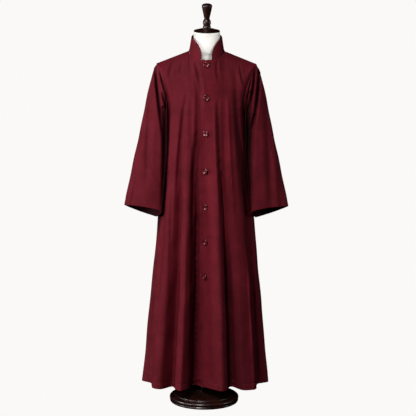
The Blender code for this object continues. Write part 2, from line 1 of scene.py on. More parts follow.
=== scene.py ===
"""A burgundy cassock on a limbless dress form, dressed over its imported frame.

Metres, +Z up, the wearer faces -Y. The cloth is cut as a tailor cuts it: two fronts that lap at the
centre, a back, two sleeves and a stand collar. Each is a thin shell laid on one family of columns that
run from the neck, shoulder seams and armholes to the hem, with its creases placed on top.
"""

import logging
import math
from collections.abc import Sequence
from dataclasses import dataclass, field
from enum import Enum
from typing import NamedTuple

import bmesh
import bpy
import numpy as np
from mathutils import Matrix, Vector


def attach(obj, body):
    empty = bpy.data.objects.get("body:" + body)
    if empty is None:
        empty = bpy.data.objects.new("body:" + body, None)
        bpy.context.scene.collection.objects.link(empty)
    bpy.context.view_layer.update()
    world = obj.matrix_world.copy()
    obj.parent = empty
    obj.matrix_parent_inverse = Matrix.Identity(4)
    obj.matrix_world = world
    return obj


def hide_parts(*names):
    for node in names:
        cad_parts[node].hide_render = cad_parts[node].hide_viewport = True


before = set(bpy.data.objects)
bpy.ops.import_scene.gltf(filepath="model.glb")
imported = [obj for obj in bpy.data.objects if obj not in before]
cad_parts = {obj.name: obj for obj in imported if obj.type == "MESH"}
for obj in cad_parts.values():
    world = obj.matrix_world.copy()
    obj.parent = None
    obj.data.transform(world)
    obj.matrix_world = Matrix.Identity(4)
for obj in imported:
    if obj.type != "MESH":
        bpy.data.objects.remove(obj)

Grid = np.ndarray
Colour = tuple[float, float, float, float]
Line = tuple[np.ndarray, np.ndarray]
LOG = logging.getLogger("cassock")
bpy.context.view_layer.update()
MM = 0.001
CORNER_DEGREES = 40.0


# ================================================================ colour and nodes
def linear(colour: str) -> Colour:
    """Turn an sRGB hex colour to linear RGBA.

    Args:
        colour: six hex digits, with a leading hash.

    Returns:
        Linear red, green, blue and an alpha of 1.
    """
    parts = [int(colour[i : i + 2], 16) / 255 for i in (1, 3, 5)]
    lit = [p / 12.92 if p <= 0.04045 else ((p + 0.055) / 1.055) ** 2.4 for p in parts]
    return (*lit, 1.0)


def per_metre(size_mm: float) -> float:
    """The scale of a noise whose grains are so many millimetres wide."""
    return 1 / (size_mm * MM)


class Recipe:
    """A material's node tree, built one node at a time."""

    def __init__(self, name: str) -> None:
        """Start a material with its Principled shader.

        Args:
            name: the material's name.
        """
        self.material = bpy.data.materials.new(name)
        self.material.use_nodes = True
        self.tree = self.material.node_tree
        self.shader = self.tree.nodes["Principled BSDF"]

    def put(self, value: object, socket: bpy.types.NodeSocket) -> None:
        """Link an output socket to an input, or set the input to a constant.

        Args:
            value: an output socket or a constant.
            socket: the input.
        """
        if isinstance(value, bpy.types.NodeSocket):
            self.tree.links.new(value, socket)
        else:
            socket.default_value = value

    def add(
        self, kind: str, links: dict | None = None, stops: Sequence[tuple[float, str]] = (), **settings: object
    ) -> bpy.types.Node:
        """Add a node with its settings and links.

        Args:
            kind: the node type, such as ShaderNodeTexNoise.
            links: for each input, by name or number, an output socket or a constant.
            stops: place and hex colour of each stop of a colour ramp.
            settings: properties of the node itself.

        Returns:
            The new node.
        """
        node = self.tree.nodes.new(kind)
        for key, value in settings.items():
            setattr(node, key, value)
        for key, value in (links or {}).items():
            self.put(value, node.inputs[key])
        for number, (place, colour) in enumerate(stops):
            elements = node.color_ramp.elements
            element = elements[number] if number < len(elements) else elements.new(place)
            element.position, element.color = place, linear(colour)
        return node

    def feed(self, **inputs: object) -> None:
        """Set or link the shader's own inputs.

        Args:
            inputs: a socket or a constant for each; an underscore in a name stands for a space.
        """
        for key, value in inputs.items():
            self.put(value, self.shader.inputs[key.replace("_", " ")])


# ================================================================ finishes
@dataclass(frozen=True)
class Gabardine:
    """Worsted gabardine, piece-dyed burgundy and steam pressed.

    A dense twill: matt, with a faint lustre on its raised steep wales and a soft bloom at grazing light.
    Its wales are 0.5 mm apart and its yarns 0.25 mm thick, finer than a view of the whole garment can
    show, so the wales are drawn at three times that and the yarns at over four times. Its slubs, eight
    times as long as wide, are drawn several times too wide to show as well. The dye is a little cloudy.
    A point attribute paints shade into tight folds and onto the cloth's inner side, and light below 0.
    """

    shade: str = "#671622"
    bloom: str = "#701B28"
    depth: str = "#59111B"
    lustre: str = "#A04050"
    painted_shade_strength: float = 0.93
    wale_mm: float = 1.5
    wale_degrees: float = 63.0
    yarn_mm: float = 1.1111
    slub_mm: float = 3.8462
    slub_length: float = 0.12
    cloud_mm: float = 71.43
    roughness: float = 0.75

    def make(self, name: str) -> bpy.types.Material:
        """Build the cloth's material.

        Args:
            name: the material's name.

        Returns:
            The material.
        """
        r = Recipe(name)
        cloth = r.add("ShaderNodeUVMap", uv_map="cloth").outputs["UV"]
        place = r.add("ShaderNodeTexCoord").outputs["Object"]
        slant = (0.0, 0.0, math.radians(self.wale_degrees))
        turned = r.add("ShaderNodeMapping", {"Vector": cloth, "Rotation": slant}).outputs["Vector"]
        # A wave texture at scale 1 repeats every pi / 10 of a metre.
        waves = math.pi / 10 * per_metre(self.wale_mm)
        wale = r.add(
            "ShaderNodeTexWave",
            {"Vector": turned, "Scale": waves, "Distortion": 0.6, "Detail": 1.0, "Detail Scale": 1.5},
            bands_direction="X",
        ).outputs["Fac"]
        yarn = r.add(
            "ShaderNodeTexNoise", {"Vector": cloth, "Scale": per_metre(self.yarn_mm), "Detail": 2.0}
        ).outputs["Fac"]
        cloud = r.add(
            "ShaderNodeTexNoise",
            {"Vector": place, "Scale": per_metre(self.cloud_mm), "Detail": 3.0, "Roughness": 0.6},
        ).outputs["Fac"]
        stretch = (1.0, self.slub_length, 1.0)
        drawn = r.add("ShaderNodeMapping", {"Vector": cloth, "Scale": stretch}).outputs["Vector"]
        slub = r.add(
            "ShaderNodeTexNoise", {"Vector": drawn, "Scale": per_metre(self.slub_mm), "Detail": 2.0}
        ).outputs["Fac"]
        dyed = r.add("ShaderNodeMath", {0: cloud, 1: 0.65}, operation="MULTIPLY").outputs[0]
        mottle = r.add("ShaderNodeMath", {0: slub, 1: 0.35, 2: dyed}, operation="MULTIPLY_ADD").outputs[0]
        tone = r.add(
            "ShaderNodeValToRGB", {"Fac": mottle}, [(0.30, self.depth), (0.50, self.shade), (0.70, self.bloom)]
        ).outputs["Color"]
        # Painted shade and light: the point attribute scales the colour's value down in folds and inside, and
        # up below 0.
        painted_shade = r.add("ShaderNodeAttribute", attribute_name="painted_shade").outputs["Fac"]
        shades = {0: painted_shade, 1: -self.painted_shade_strength, 2: 1.0}
        lit = r.add("ShaderNodeMath", shades, operation="MULTIPLY_ADD").outputs[0]
        tone = r.add("ShaderNodeHueSaturation", {"Color": tone, "Value": lit}).outputs["Color"]
        worn = {0: wale, 1: 0.05, 2: self.roughness}
        rough = r.add("ShaderNodeMath", worn, operation="MULTIPLY_ADD").outputs[0]
        raised = r.add("ShaderNodeMath", {0: yarn, 1: 0.5, 2: wale}, operation="MULTIPLY_ADD").outputs[0]
        bump = r.add("ShaderNodeBump", {"Height": raised, "Strength": 0.22, "Distance": 0.25 * MM})
        r.feed(Base_Color=tone, Roughness=rough, Normal=bump.outputs["Normal"])
        r.feed(IOR=1.5, Specular_IOR_Level=0.12)
        r.feed(Sheen_Weight=0.02, Sheen_Roughness=0.4, Sheen_Tint=linear(self.lustre))
        return r.material


@dataclass(frozen=True)
class Thread:
    """Spun polyester sewing thread, dyed to the cloth; a little brighter than it, with a soft lustre."""

    shade: str = "#5E1620"
    depth: str = "#4A1018"
    twist_mm: float = 0.6667

    def make(self, name: str) -> bpy.types.Material:
        """Build the thread's material.

        Args:
            name: the material's name.

        Returns:
            The material.
        """
        r = Recipe(name)
        place = r.add("ShaderNodeTexCoord").outputs["Object"]
        twist = r.add(
            "ShaderNodeTexNoise", {"Vector": place, "Scale": per_metre(self.twist_mm), "Detail": 1.0}
        ).outputs["Fac"]
        tone = r.add("ShaderNodeValToRGB", {"Fac": twist}, [(0.35, self.depth), (0.65, self.shade)])
        r.feed(Base_Color=tone.outputs["Color"], Roughness=0.55, Sheen_Weight=0.2)
        return r.material


@dataclass(frozen=True)
class ResinButton:
    """Cast polyester resin, turned and tumble polished: clear gloss over a deep, slightly cloudy burgundy.

    The point attribute "rim" paints a shadow round the button's edge, drawing its colour towards a near black.
    """

    light: str = "#8A2330"
    dark: str = "#521019"
    # The colour of the painted shadow round the button's edge.
    edge: str = "#1C0509"
    swirl_mm: float = 6.25
    polish_mm: float = 0.4545

    def make(self, name: str) -> bpy.types.Material:
        """Build the button's material.

        Args:
            name: the material's name.

        Returns:
            The material.
        """
        r = Recipe(name)
        place = r.add("ShaderNodeTexCoord").outputs["Object"]
        swirl = r.add(
            "ShaderNodeTexNoise",
            {"Vector": place, "Scale": per_metre(self.swirl_mm), "Detail": 4.0, "Distortion": 1.2},
        ).outputs["Fac"]
        polish = r.add(
            "ShaderNodeTexNoise", {"Vector": place, "Scale": per_metre(self.polish_mm), "Detail": 1.0}
        ).outputs["Fac"]
        depths = [(0.38, self.dark), (0.62, self.light)]
        cloudy = r.add("ShaderNodeValToRGB", {"Fac": swirl}, depths).outputs["Color"]
        # Painted shadow: the button's edge is drawn towards a near black.
        rim = r.add("ShaderNodeAttribute", attribute_name="rim").outputs["Fac"]
        # A colour mix has its factor at input 0, its colours at 6 and 7 and its result at output 2.
        edge_shadowed = r.add("ShaderNodeMix", {0: rim, 6: cloudy, 7: linear(self.edge)}, data_type="RGBA").outputs[2]
        rough = r.add("ShaderNodeMath", {0: polish, 1: 0.06, 2: 0.17}, operation="MULTIPLY_ADD").outputs[0]
        r.feed(Base_Color=edge_shadowed, Roughness=rough, IOR=1.54, Coat_Weight=0.3, Coat_Roughness=0.20)
        return r.material


@dataclass(frozen=True)
class CottonJersey:
    """Off-white cotton jersey stretched over a padded form: fine wales up the neck, matt and slightly fuzzy.

    Its wales are drawn at twice their real 0.8 mm. The wadding under it makes the tone a little uneven.
    """

    shade: str = "#F1EEE8"
    shadow: str = "#E2DDD3"
    wale_mm: float = 1.6
    wadding_mm: float = 45.45

    def make(self, name: str) -> bpy.types.Material:
        """Build the cover's material.

        Args:
            name: the material's name.

        Returns:
            The material.
        """
        r = Recipe(name)
        place = r.add("ShaderNodeTexCoord").outputs["Object"]
        wadding = r.add(
            "ShaderNodeTexNoise", {"Vector": place, "Scale": per_metre(self.wadding_mm), "Detail": 3.0}
        ).outputs["Fac"]
        drawn = r.add("ShaderNodeMapping", {"Vector": place, "Scale": (1.0, 1.0, 0.5)}).outputs["Vector"]
        knit = r.add(
            "ShaderNodeTexNoise", {"Vector": drawn, "Scale": per_metre(self.wale_mm), "Detail": 1.0}
        ).outputs["Fac"]
        tone = r.add("ShaderNodeValToRGB", {"Fac": wadding}, [(0.3, self.shadow), (0.6, self.shade)])
        bump = r.add("ShaderNodeBump", {"Height": knit, "Strength": 0.25, "Distance": 0.2 * MM})
        r.feed(Base_Color=tone.outputs["Color"], Roughness=0.85, Normal=bump.outputs["Normal"])
        r.feed(Sheen_Weight=0.25, Sheen_Roughness=0.6)
        return r.material


@dataclass(frozen=True)
class StainedWalnut:
    """Walnut turned on the lathe, stained nearly black and sprayed with gloss lacquer.

    Its figure shows only as faint red-brown streaks under a sharp clear coat, and its pores, drawn five
    times as long as wide, lie filled. The lacquer is a little hazy in patches.
    """

    stain: str = "#160805"
    streak: str = "#3A1710"
    figure_mm: float = 21.74
    pore_mm: float = 2.381
    haze_mm: float = 111.1
    along: tuple[float, float, float] = (1.0, 1.0, 0.2)

    def make(self, name: str) -> bpy.types.Material:
        """Build the wood's material.

        Args:
            name: the material's name.

        Returns:
            The material.
        """
        r = Recipe(name)
        place = r.add("ShaderNodeTexCoord").outputs["Object"]
        drawn = r.add("ShaderNodeMapping", {"Vector": place, "Scale": self.along}).outputs["Vector"]
        wild = {"Detail": 5.0, "Roughness": 0.65, "Distortion": 0.8}
        figure = r.add(
            "ShaderNodeTexNoise", {"Vector": drawn, "Scale": per_metre(self.figure_mm), **wild}
        ).outputs["Fac"]
        pores = r.add(
            "ShaderNodeTexNoise", {"Vector": drawn, "Scale": per_metre(self.pore_mm), "Detail": 2.0}
        ).outputs["Fac"]
        haze = r.add(
            "ShaderNodeTexNoise", {"Vector": place, "Scale": per_metre(self.haze_mm), "Detail": 2.0}
        ).outputs["Fac"]
        broad = r.add("ShaderNodeMath", {0: figure, 1: 0.75}, operation="MULTIPLY").outputs[0]
        grain = r.add("ShaderNodeMath", {0: pores, 1: 0.25, 2: broad}, operation="MULTIPLY_ADD").outputs[0]
        tone = r.add("ShaderNodeValToRGB", {"Fac": grain}, [(0.42, self.stain), (0.68, self.streak)])
        rough = r.add("ShaderNodeMath", {0: haze, 1: 0.12, 2: 0.30}, operation="MULTIPLY_ADD").outputs[0]
        bump = r.add("ShaderNodeBump", {"Height": grain, "Strength": 0.03, "Distance": 0.1 * MM})
        r.feed(Base_Color=tone.outputs["Color"], Roughness=rough, Normal=bump.outputs["Normal"])
        r.feed(IOR=1.5, Coat_Weight=0.5, Coat_Roughness=0.16)
        return r.material


@dataclass(frozen=True)
class StudioPaper:
    """Seamless studio paper, matt and nearly white; it shines by itself, so that no shadow dulls it."""

    shade: str = "#FAF9F7"

    def make(self, name: str) -> bpy.types.Material:
        """Build the paper's material.

        Args:
            name: the material's name.

        Returns:
            The material.
        """
        r = Recipe(name)
        r.feed(Base_Color=(0.0, 0.0, 0.0, 1.0), Roughness=1.0, Specular_IOR_Level=0.0)
        r.feed(Emission_Color=linear(self.shade), Emission_Strength=1.0)
        return r.material


# ================================================================ curves
def hermite(first: Grid, last: Grid, first_slope: Grid, last_slope: Grid, t: Grid) -> Grid:
    """The cubic between two points with given slopes.

    Args:
        first: the point at t = 0.
        last: the point at t = 1.
        first_slope: the slope at t = 0.
        last_slope: the slope at t = 1.
        t: where to read it, from 0 to 1.

    Returns:
        The points there.
    """
    return (
        (2 * t**3 - 3 * t**2 + 1) * first
        + (t**3 - 2 * t**2 + t) * first_slope
        + (3 * t**2 - 2 * t**3) * last
        + (t**3 - t**2) * last_slope
    )


def smooth_rows(knots: Sequence[float], rows: Grid, at: Grid) -> Grid:
    """Read rows of numbers at other places, along cubics that pass through each row.

    Args:
        knots: where each row stands, rising.
        rows: the rows.
        at: the places to read.

    Returns:
        One row for each place.
    """
    knots, rows = np.asarray(knots, float), np.asarray(rows, float)
    slopes = np.gradient(rows, knots, axis=0)
    at = np.atleast_1d(at)
    i = np.clip(np.searchsorted(knots, at, side="right") - 1, 0, len(knots) - 2)
    span = (knots[i + 1] - knots[i])[:, None]
    t = (at[:, None] - knots[i][:, None]) / span
    return hermite(rows[i], rows[i + 1], slopes[i] * span, slopes[i + 1] * span, t)


def oval(half_width: Grid, front: Grid, back: Grid, bearing: Grid, square: float = 1.0) -> Grid:
    """The x and y of an oval with a deeper and a shallower half.

    Args:
        half_width: its half width.
        front: its depth before the axis.
        back: its depth behind the axis.
        bearing: where to read it, in radians from the front.
        square: below 1 it is boxier, above 1 it comes to points at its sides.

    Returns:
        A row of x and y for each bearing.
    """
    cosine = np.cos(bearing)
    deep = np.where(cosine > 0, front, back) * np.sign(cosine) * np.abs(cosine) ** square
    return np.stack([half_width * np.sin(bearing), -deep], axis=-1)


def eased(share: Grid) -> Grid:
    """A share from 0 to 1, with a soft start and end."""
    share = np.clip(share, 0, 1)
    return share * share * (3 - 2 * share)


def unit(vectors: Grid) -> Grid:
    """Vectors at unit length."""
    return vectors / np.maximum(np.linalg.norm(vectors, axis=-1, keepdims=True), 1e-12)


def travelled(points: Grid) -> Grid:
    """How far each point of a grid lies down its column, measured along it from the first row."""
    steps = np.linalg.norm(np.diff(points, axis=0), axis=2)
    return np.vstack([np.zeros(steps.shape[1]), np.cumsum(steps, axis=0)])


def bell(distance: Grid, width: float) -> Grid:
    """A soft bump: 1 at no distance, and 0.37 at its width."""
    return np.exp(-((distance / width) ** 2))


def new_piece(name: str, vertices: list, faces: list, material: bpy.types.Material) -> bpy.types.Object:
    """Make a smooth piece from its vertices and faces.

    Args:
        name: the piece's name.
        vertices: the place of each vertex.
        faces: the vertex numbers of each face.
        material: its finish.

    Returns:
        The piece, linked to the scene.
    """
    mesh = bpy.data.meshes.new(name)
    mesh.from_pydata(vertices, [], faces)
    mesh.materials.append(material)
    mesh.shade_smooth()
    piece = bpy.data.objects.new(name, mesh)
    bpy.context.scene.collection.objects.link(piece)
    return piece


# ================================================================ cloth
class View(Enum):
    """The view a crease is drawn in; the value is the sign of y that it faces."""

    FRONT = -1
    BACK = 1


class Side(Enum):
    """One of the wearer's sides; the value is the sign of x."""

    LEFT = 1
    RIGHT = -1


class Crease(NamedTuple):
    """A soft trough drawn in the front or back view, or a ridge where its depth is negative.

    It runs from (x0, z0) through (x1, z1) to (x2, z2), and fades towards both of its ends. The cloth
    rises beside it by `lip`, a share of its depth. The field after its depth is the shade painted along
    its bottom: 0 paints none and 1 the darkest. Below 0 it paints light there instead. With no depth, a
    crease gives that painted shade or painted light alone.
    """

    x0: float
    z0: float
    x1: float
    z1: float
    x2: float
    z2: float
    width: float
    depth: float
    painted_shade: float = 0.0
    lip: float = 0.30


class Ripple(NamedTuple):
    """A long shallow wave in the cloth: its lengths across and down, its start and its height."""

    across: float
    down: float
    start: float
    height: float


# A crease's line is read at this many points, and beyond its reach, in widths, it has no depth. Its lips
# lie this many widths off its line, and it fades towards its ends as this power of a sine.
CREASE_POINTS = 60
CREASE_REACH = 3
LIP_OFF = 1.6
CREASE_FADE = 0.6

# A facing counts this many times over, so that a crease is at its full depth soon after the turn where
# the cloth begins to face its view. Its painted shade goes on round that turn: it starts at this facing
# away from the view, and is full a stretch further on.
FACING_GAIN = 6.0
SHADE_ROUND = 2.5
SHADE_STRETCH = 1.5


def crease_depth(crease: Crease, x: Grid, z: Grid) -> tuple[Grid, Grid]:
    """How far a crease pushes each point into the cloth, and the shade it paints there.

    Args:
        crease: the crease.
        x: across, for each point.
        z: height, for each point.

    Returns:
        The depth at each point, negative where the cloth rises, and the shade that the crease paints there,
        negative where it paints light.
    """
    depth, painted_shade = np.zeros_like(x), np.zeros_like(x)
    ends = np.array([[crease.x0, crease.z0], [crease.x1, crease.z1], [crease.x2, crease.z2]])
    reach = CREASE_REACH * crease.width
    low, high = ends.min(axis=0) - reach, ends.max(axis=0) + reach
    near = (x > low[0]) & (x < high[0]) & (z > low[1]) & (z < high[1])
    if not near.any():
        return depth, painted_shade
    t = np.linspace(0, 1, CREASE_POINTS)[:, None]
    bend = 2 * ends[1] - (ends[0] + ends[2]) / 2
    line = (1 - t) ** 2 * ends[0] + 2 * t * (1 - t) * bend + t**2 * ends[2]
    away = np.hypot(x[near][:, None] - line[:, 0], z[near][:, None] - line[:, 1])
    nearest = away.argmin(axis=1)
    fade = np.sin(math.pi * t[nearest, 0]) ** CREASE_FADE
    off = away[np.arange(len(nearest)), nearest] / crease.width
    lip = crease.lip * np.exp(-2 * (off - LIP_OFF) ** 2)
    depth[near] = crease.depth * fade * (np.exp(-2 * off**2) - lip)
    # The painted shade, or light below 0, is full along the crease's bottom and fades to its sides.
    painted_shade[near] = crease.painted_shade * fade * np.exp(-2 * off**4)
    return depth, painted_shade


@dataclass
class Sheet:
    """A grid of cloth. Columns run down it, and follow each other anticlockwise seen from above.

    For each point it holds the shade that creases paint onto it, and below 0 the light they paint.
    """

    points: Grid
    closed: bool = False
    painted_shade: Grid | None = None

    def __post_init__(self) -> None:
        """A new sheet has no painted shade."""
        if self.painted_shade is None:
            self.painted_shade = np.zeros(self.points.shape[:2])

    def normals(self) -> Grid:
        """The way each point faces.

        Returns:
            A vector of unit length for each point.
        """
        down = np.gradient(self.points, axis=0)
        if self.closed:
            around = np.roll(self.points, -1, axis=1) - np.roll(self.points, 1, axis=1)
        else:
            around = np.gradient(self.points, axis=1)
        return unit(np.cross(down, around))

    def flat(self) -> Grid:
        """Each point's place on the flat cloth.

        Returns:
            Metres from the middle of its row and from the top; a closed sheet has its first column twice.
        """
        points = self.points
        if self.closed:
            points = np.concatenate([points, points[:, :1]], axis=1)
        across = travelled(points.transpose(1, 0, 2)).T
        across = across - across[:, points.shape[1] // 2, None]
        return np.stack([across, travelled(points)], axis=-1)

    def press(self, depth: Grid) -> None:
        """Push each point into the cloth by its depth."""
        self.points = self.points - self.normals() * depth[..., None]

    def crease(self, creases: Sequence[Crease], view: View, hold: Grid) -> None:
        """Press creases into the side of the cloth that faces a view, straight away from that view.

        Each crease also paints shade, or light below 0; where creases cross, the darkest painted shade and the
        brightest painted light are kept.

        Args:
            creases: the creases.
            view: the side of the garment they show on.
            hold: for each point, the share of a crease's depth it takes.
        """
        facing = self.evened(self.normals()[..., 1] * view.value * FACING_GAIN)
        pressed = [crease_depth(c, self.points[..., 0], self.points[..., 2]) for c in creases]
        # The painted shade fades in round the turn where the cloth comes to face the view.
        shaded = eased((facing + SHADE_ROUND) / SHADE_STRETCH)
        shares = [np.zeros_like(facing), *(painted_shade * shaded for _, painted_shade in pressed)]
        self.painted_shade = self.painted_shade + np.maximum.reduce(shares) + np.minimum.reduce(shares)
        inward = np.zeros_like(self.points)
        inward[..., 1] = sum(depth for depth, _ in pressed) * eased(facing) * hold * -view.value
        self.points = self.points + inward

    def evened(self, grid: Grid, passes: int = 12, down: bool = True) -> Grid:
        """Average every point with its neighbours, several times.

        Args:
            grid: a value for each point.
            passes: how often.
            down: whether with the neighbours above and below it too, and not only along its row.

        Returns:
            The evened values.
        """
        for _ in range(passes):
            left, right = np.roll(grid, 1, axis=1), np.roll(grid, -1, axis=1)
            if not self.closed:
                left[:, 0], right[:, -1] = grid[:, 0], grid[:, -1]
            grid = (left + right + 2 * grid) / 4
            if down:
                above, below = np.vstack([grid[:1], grid[:-1]]), np.vstack([grid[1:], grid[-1:]])
                grid = (above + below + 2 * grid) / 4
        return grid

    def ripple(self, ripples: Sequence[Ripple], hold: Grid) -> None:
        """Let long shallow waves run through the cloth.

        Args:
            ripples: the waves.
            hold: for each point, the share of a wave's height it takes.
        """
        flat = self.flat()[:, : self.points.shape[1]]
        across, down = flat[..., 0], flat[..., 1]
        waves = [r.height * np.sin(math.tau * (across / r.across + down / r.down) + r.start) for r in ripples]
        self.press(sum(waves) * hold)


# Where the rows of a rounded rim lie, in shares of its radius in from the edge.
RIM_STEPS = (0.0, 0.15, 0.50)
# The share by which the inner side of a hanging cloth, in its own shade, is drawn darker.
INSIDE_SHADE = 0.85
# How far each panel's edge is drawn back from its seam.
SEAM_GAP = 0.1 * MM
# What the numbers of a point of a panel stand for.
PLACE, FACING, WALL, PAINTED_SHADE, FLAT = slice(0, 3), slice(3, 6), slice(6, 7), 7, slice(8, 10)


def rimmed(grid: Grid, radius: float) -> Grid:
    """Draw a grid's first and last row back from their seams, and lay three rows beside each for its rim.

    Args:
        grid: the rows, with the numbers of each point.
        radius: the radius of the rim.

    Returns:
        The grid with six more rows.
    """
    grid = grid.copy()
    for a, b in ((0, 1), (-1, -2)):
        length = np.linalg.norm(grid[b, :, PLACE] - grid[a, :, PLACE], axis=1)
        grid[a] += (grid[b] - grid[a]) * (SEAM_GAP / length)[:, None]
    rims = []
    for a, b in ((0, 1), (-1, -2)):
        inward = grid[b] - grid[a]
        length = np.linalg.norm(inward[:, PLACE], axis=1)
        rims.append([grid[a] + inward * (radius * step / length)[:, None] for step in (*RIM_STEPS, 1.0)])
    return np.concatenate([rims[0], grid[1:-1], rims[1][::-1]])


def rounding(count: int) -> Grid:
    """How far a wall has its full thickness at each line.

    Args:
        count: the number of lines.

    Returns:
        A share for each line, below 1 only at the rims on both of its ends.
    """
    share = np.ones(count)
    for i, step in enumerate(RIM_STEPS):
        share[i] = share[-1 - i] = math.sqrt(1 - (1 - step) ** 2)
    return share


def sew_shell(name: str, sheet: Sheet, wall: Grid, material: bpy.types.Material) -> bpy.types.Object:
    """Give a sheet its wall, rounded at every rim.

    Args:
        name: the piece's name.
        sheet: the outer side of the cloth.
        wall: the thickness at each point.
        material: the cloth.

    Returns:
        The piece, with its place on the flat cloth as the UV map "cloth" and its painted shade as a point
        attribute.
    """
    closed = sheet.closed
    data = np.concatenate([sheet.points, sheet.normals(), wall[..., None], sheet.painted_shade[..., None]], axis=2)
    if closed:
        data = np.concatenate([data, data[:, :1]], axis=1)
    data = np.concatenate([data, sheet.flat()], axis=2)
    radius = float(wall.min()) / 2
    data = rimmed(data, radius)
    full = rounding(data.shape[0])[:, None]
    if not closed:
        data = rimmed(data.transpose(1, 0, 2), radius).transpose(1, 0, 2)
        full = np.minimum(full, rounding(data.shape[1])[None])
    rows, spans = data.shape[0], data.shape[1] - 1
    real = spans if closed else spans + 1
    half = unit(data[..., FACING]) * data[..., WALL] / 2
    offset = half * np.broadcast_to(full, data.shape[:2])[..., None]
    middle = data[..., PLACE] - half
    outer, inner = (middle + offset)[:, :real], (middle - offset)[:, :real]
    # The two sides share their vertices at the rims.
    border = np.zeros((rows, real), bool)
    border[[0, -1]] = True
    if not closed:
        border[:, [0, -1]] = True
    out_index = np.arange(rows * real).reshape(rows, real)
    in_index = out_index.copy()
    in_index[~border] = rows * real + np.arange(int((~border).sum()))
    r, c = (g.ravel() for g in np.mgrid[0 : rows - 1, 0:spans])
    ring = ((r, c), (r + 1, c), (r + 1, c + 1), (r, c + 1))
    out_faces = np.stack([out_index[a, b % real] for a, b in ring], axis=1)
    in_faces = np.stack([in_index[a, b % real] for a, b in ring[::-1]], axis=1)
    places = np.stack([data[a, b, FLAT] for a, b in ring], axis=1)
    vertices = np.vstack([outer.reshape(-1, 3), inner[~border]])
    piece = new_piece(name, vertices.tolist(), np.vstack([out_faces, in_faces]).tolist(), material)
    uv = np.vstack([places, places[:, ::-1]])
    piece.data.uv_layers.new(name="cloth").data.foreach_set("uv", uv.reshape(-1).astype(np.float32))
    # Painted shade: the outer side takes the creases' shade, and the inner side at least INSIDE_SHADE of it.
    painted_shade = data[:, :real, PAINTED_SHADE]
    shades = np.concatenate([painted_shade.ravel(), np.maximum(painted_shade[~border], INSIDE_SHADE)])
    piece.data.attributes.new("painted_shade", "FLOAT", "POINT").data.foreach_set("value", shades.astype(np.float32))
    return piece


# ================================================================ the cut of the body
class Section(NamedTuple):
    """The body without its folds at one height, as an oval."""

    height: float
    half_width: float
    front: float
    back: float


class Launch(NamedTuple):
    """How a column leaves the top edge: its place there, and the way and distance it heads."""

    edge: float
    across: float
    deep: float
    down: float


class Fold(NamedTuple):
    """A column of the body that a fold's ridge or valley follows.

    `edge` is its place on the top edge, `bearing` its degrees round the chest from centre front, and
    x and y its place on the hem. `steps` counts the columns from here to the next fold.
    """

    edge: float
    bearing: float
    hem_x: float
    hem_y: float
    steps: int


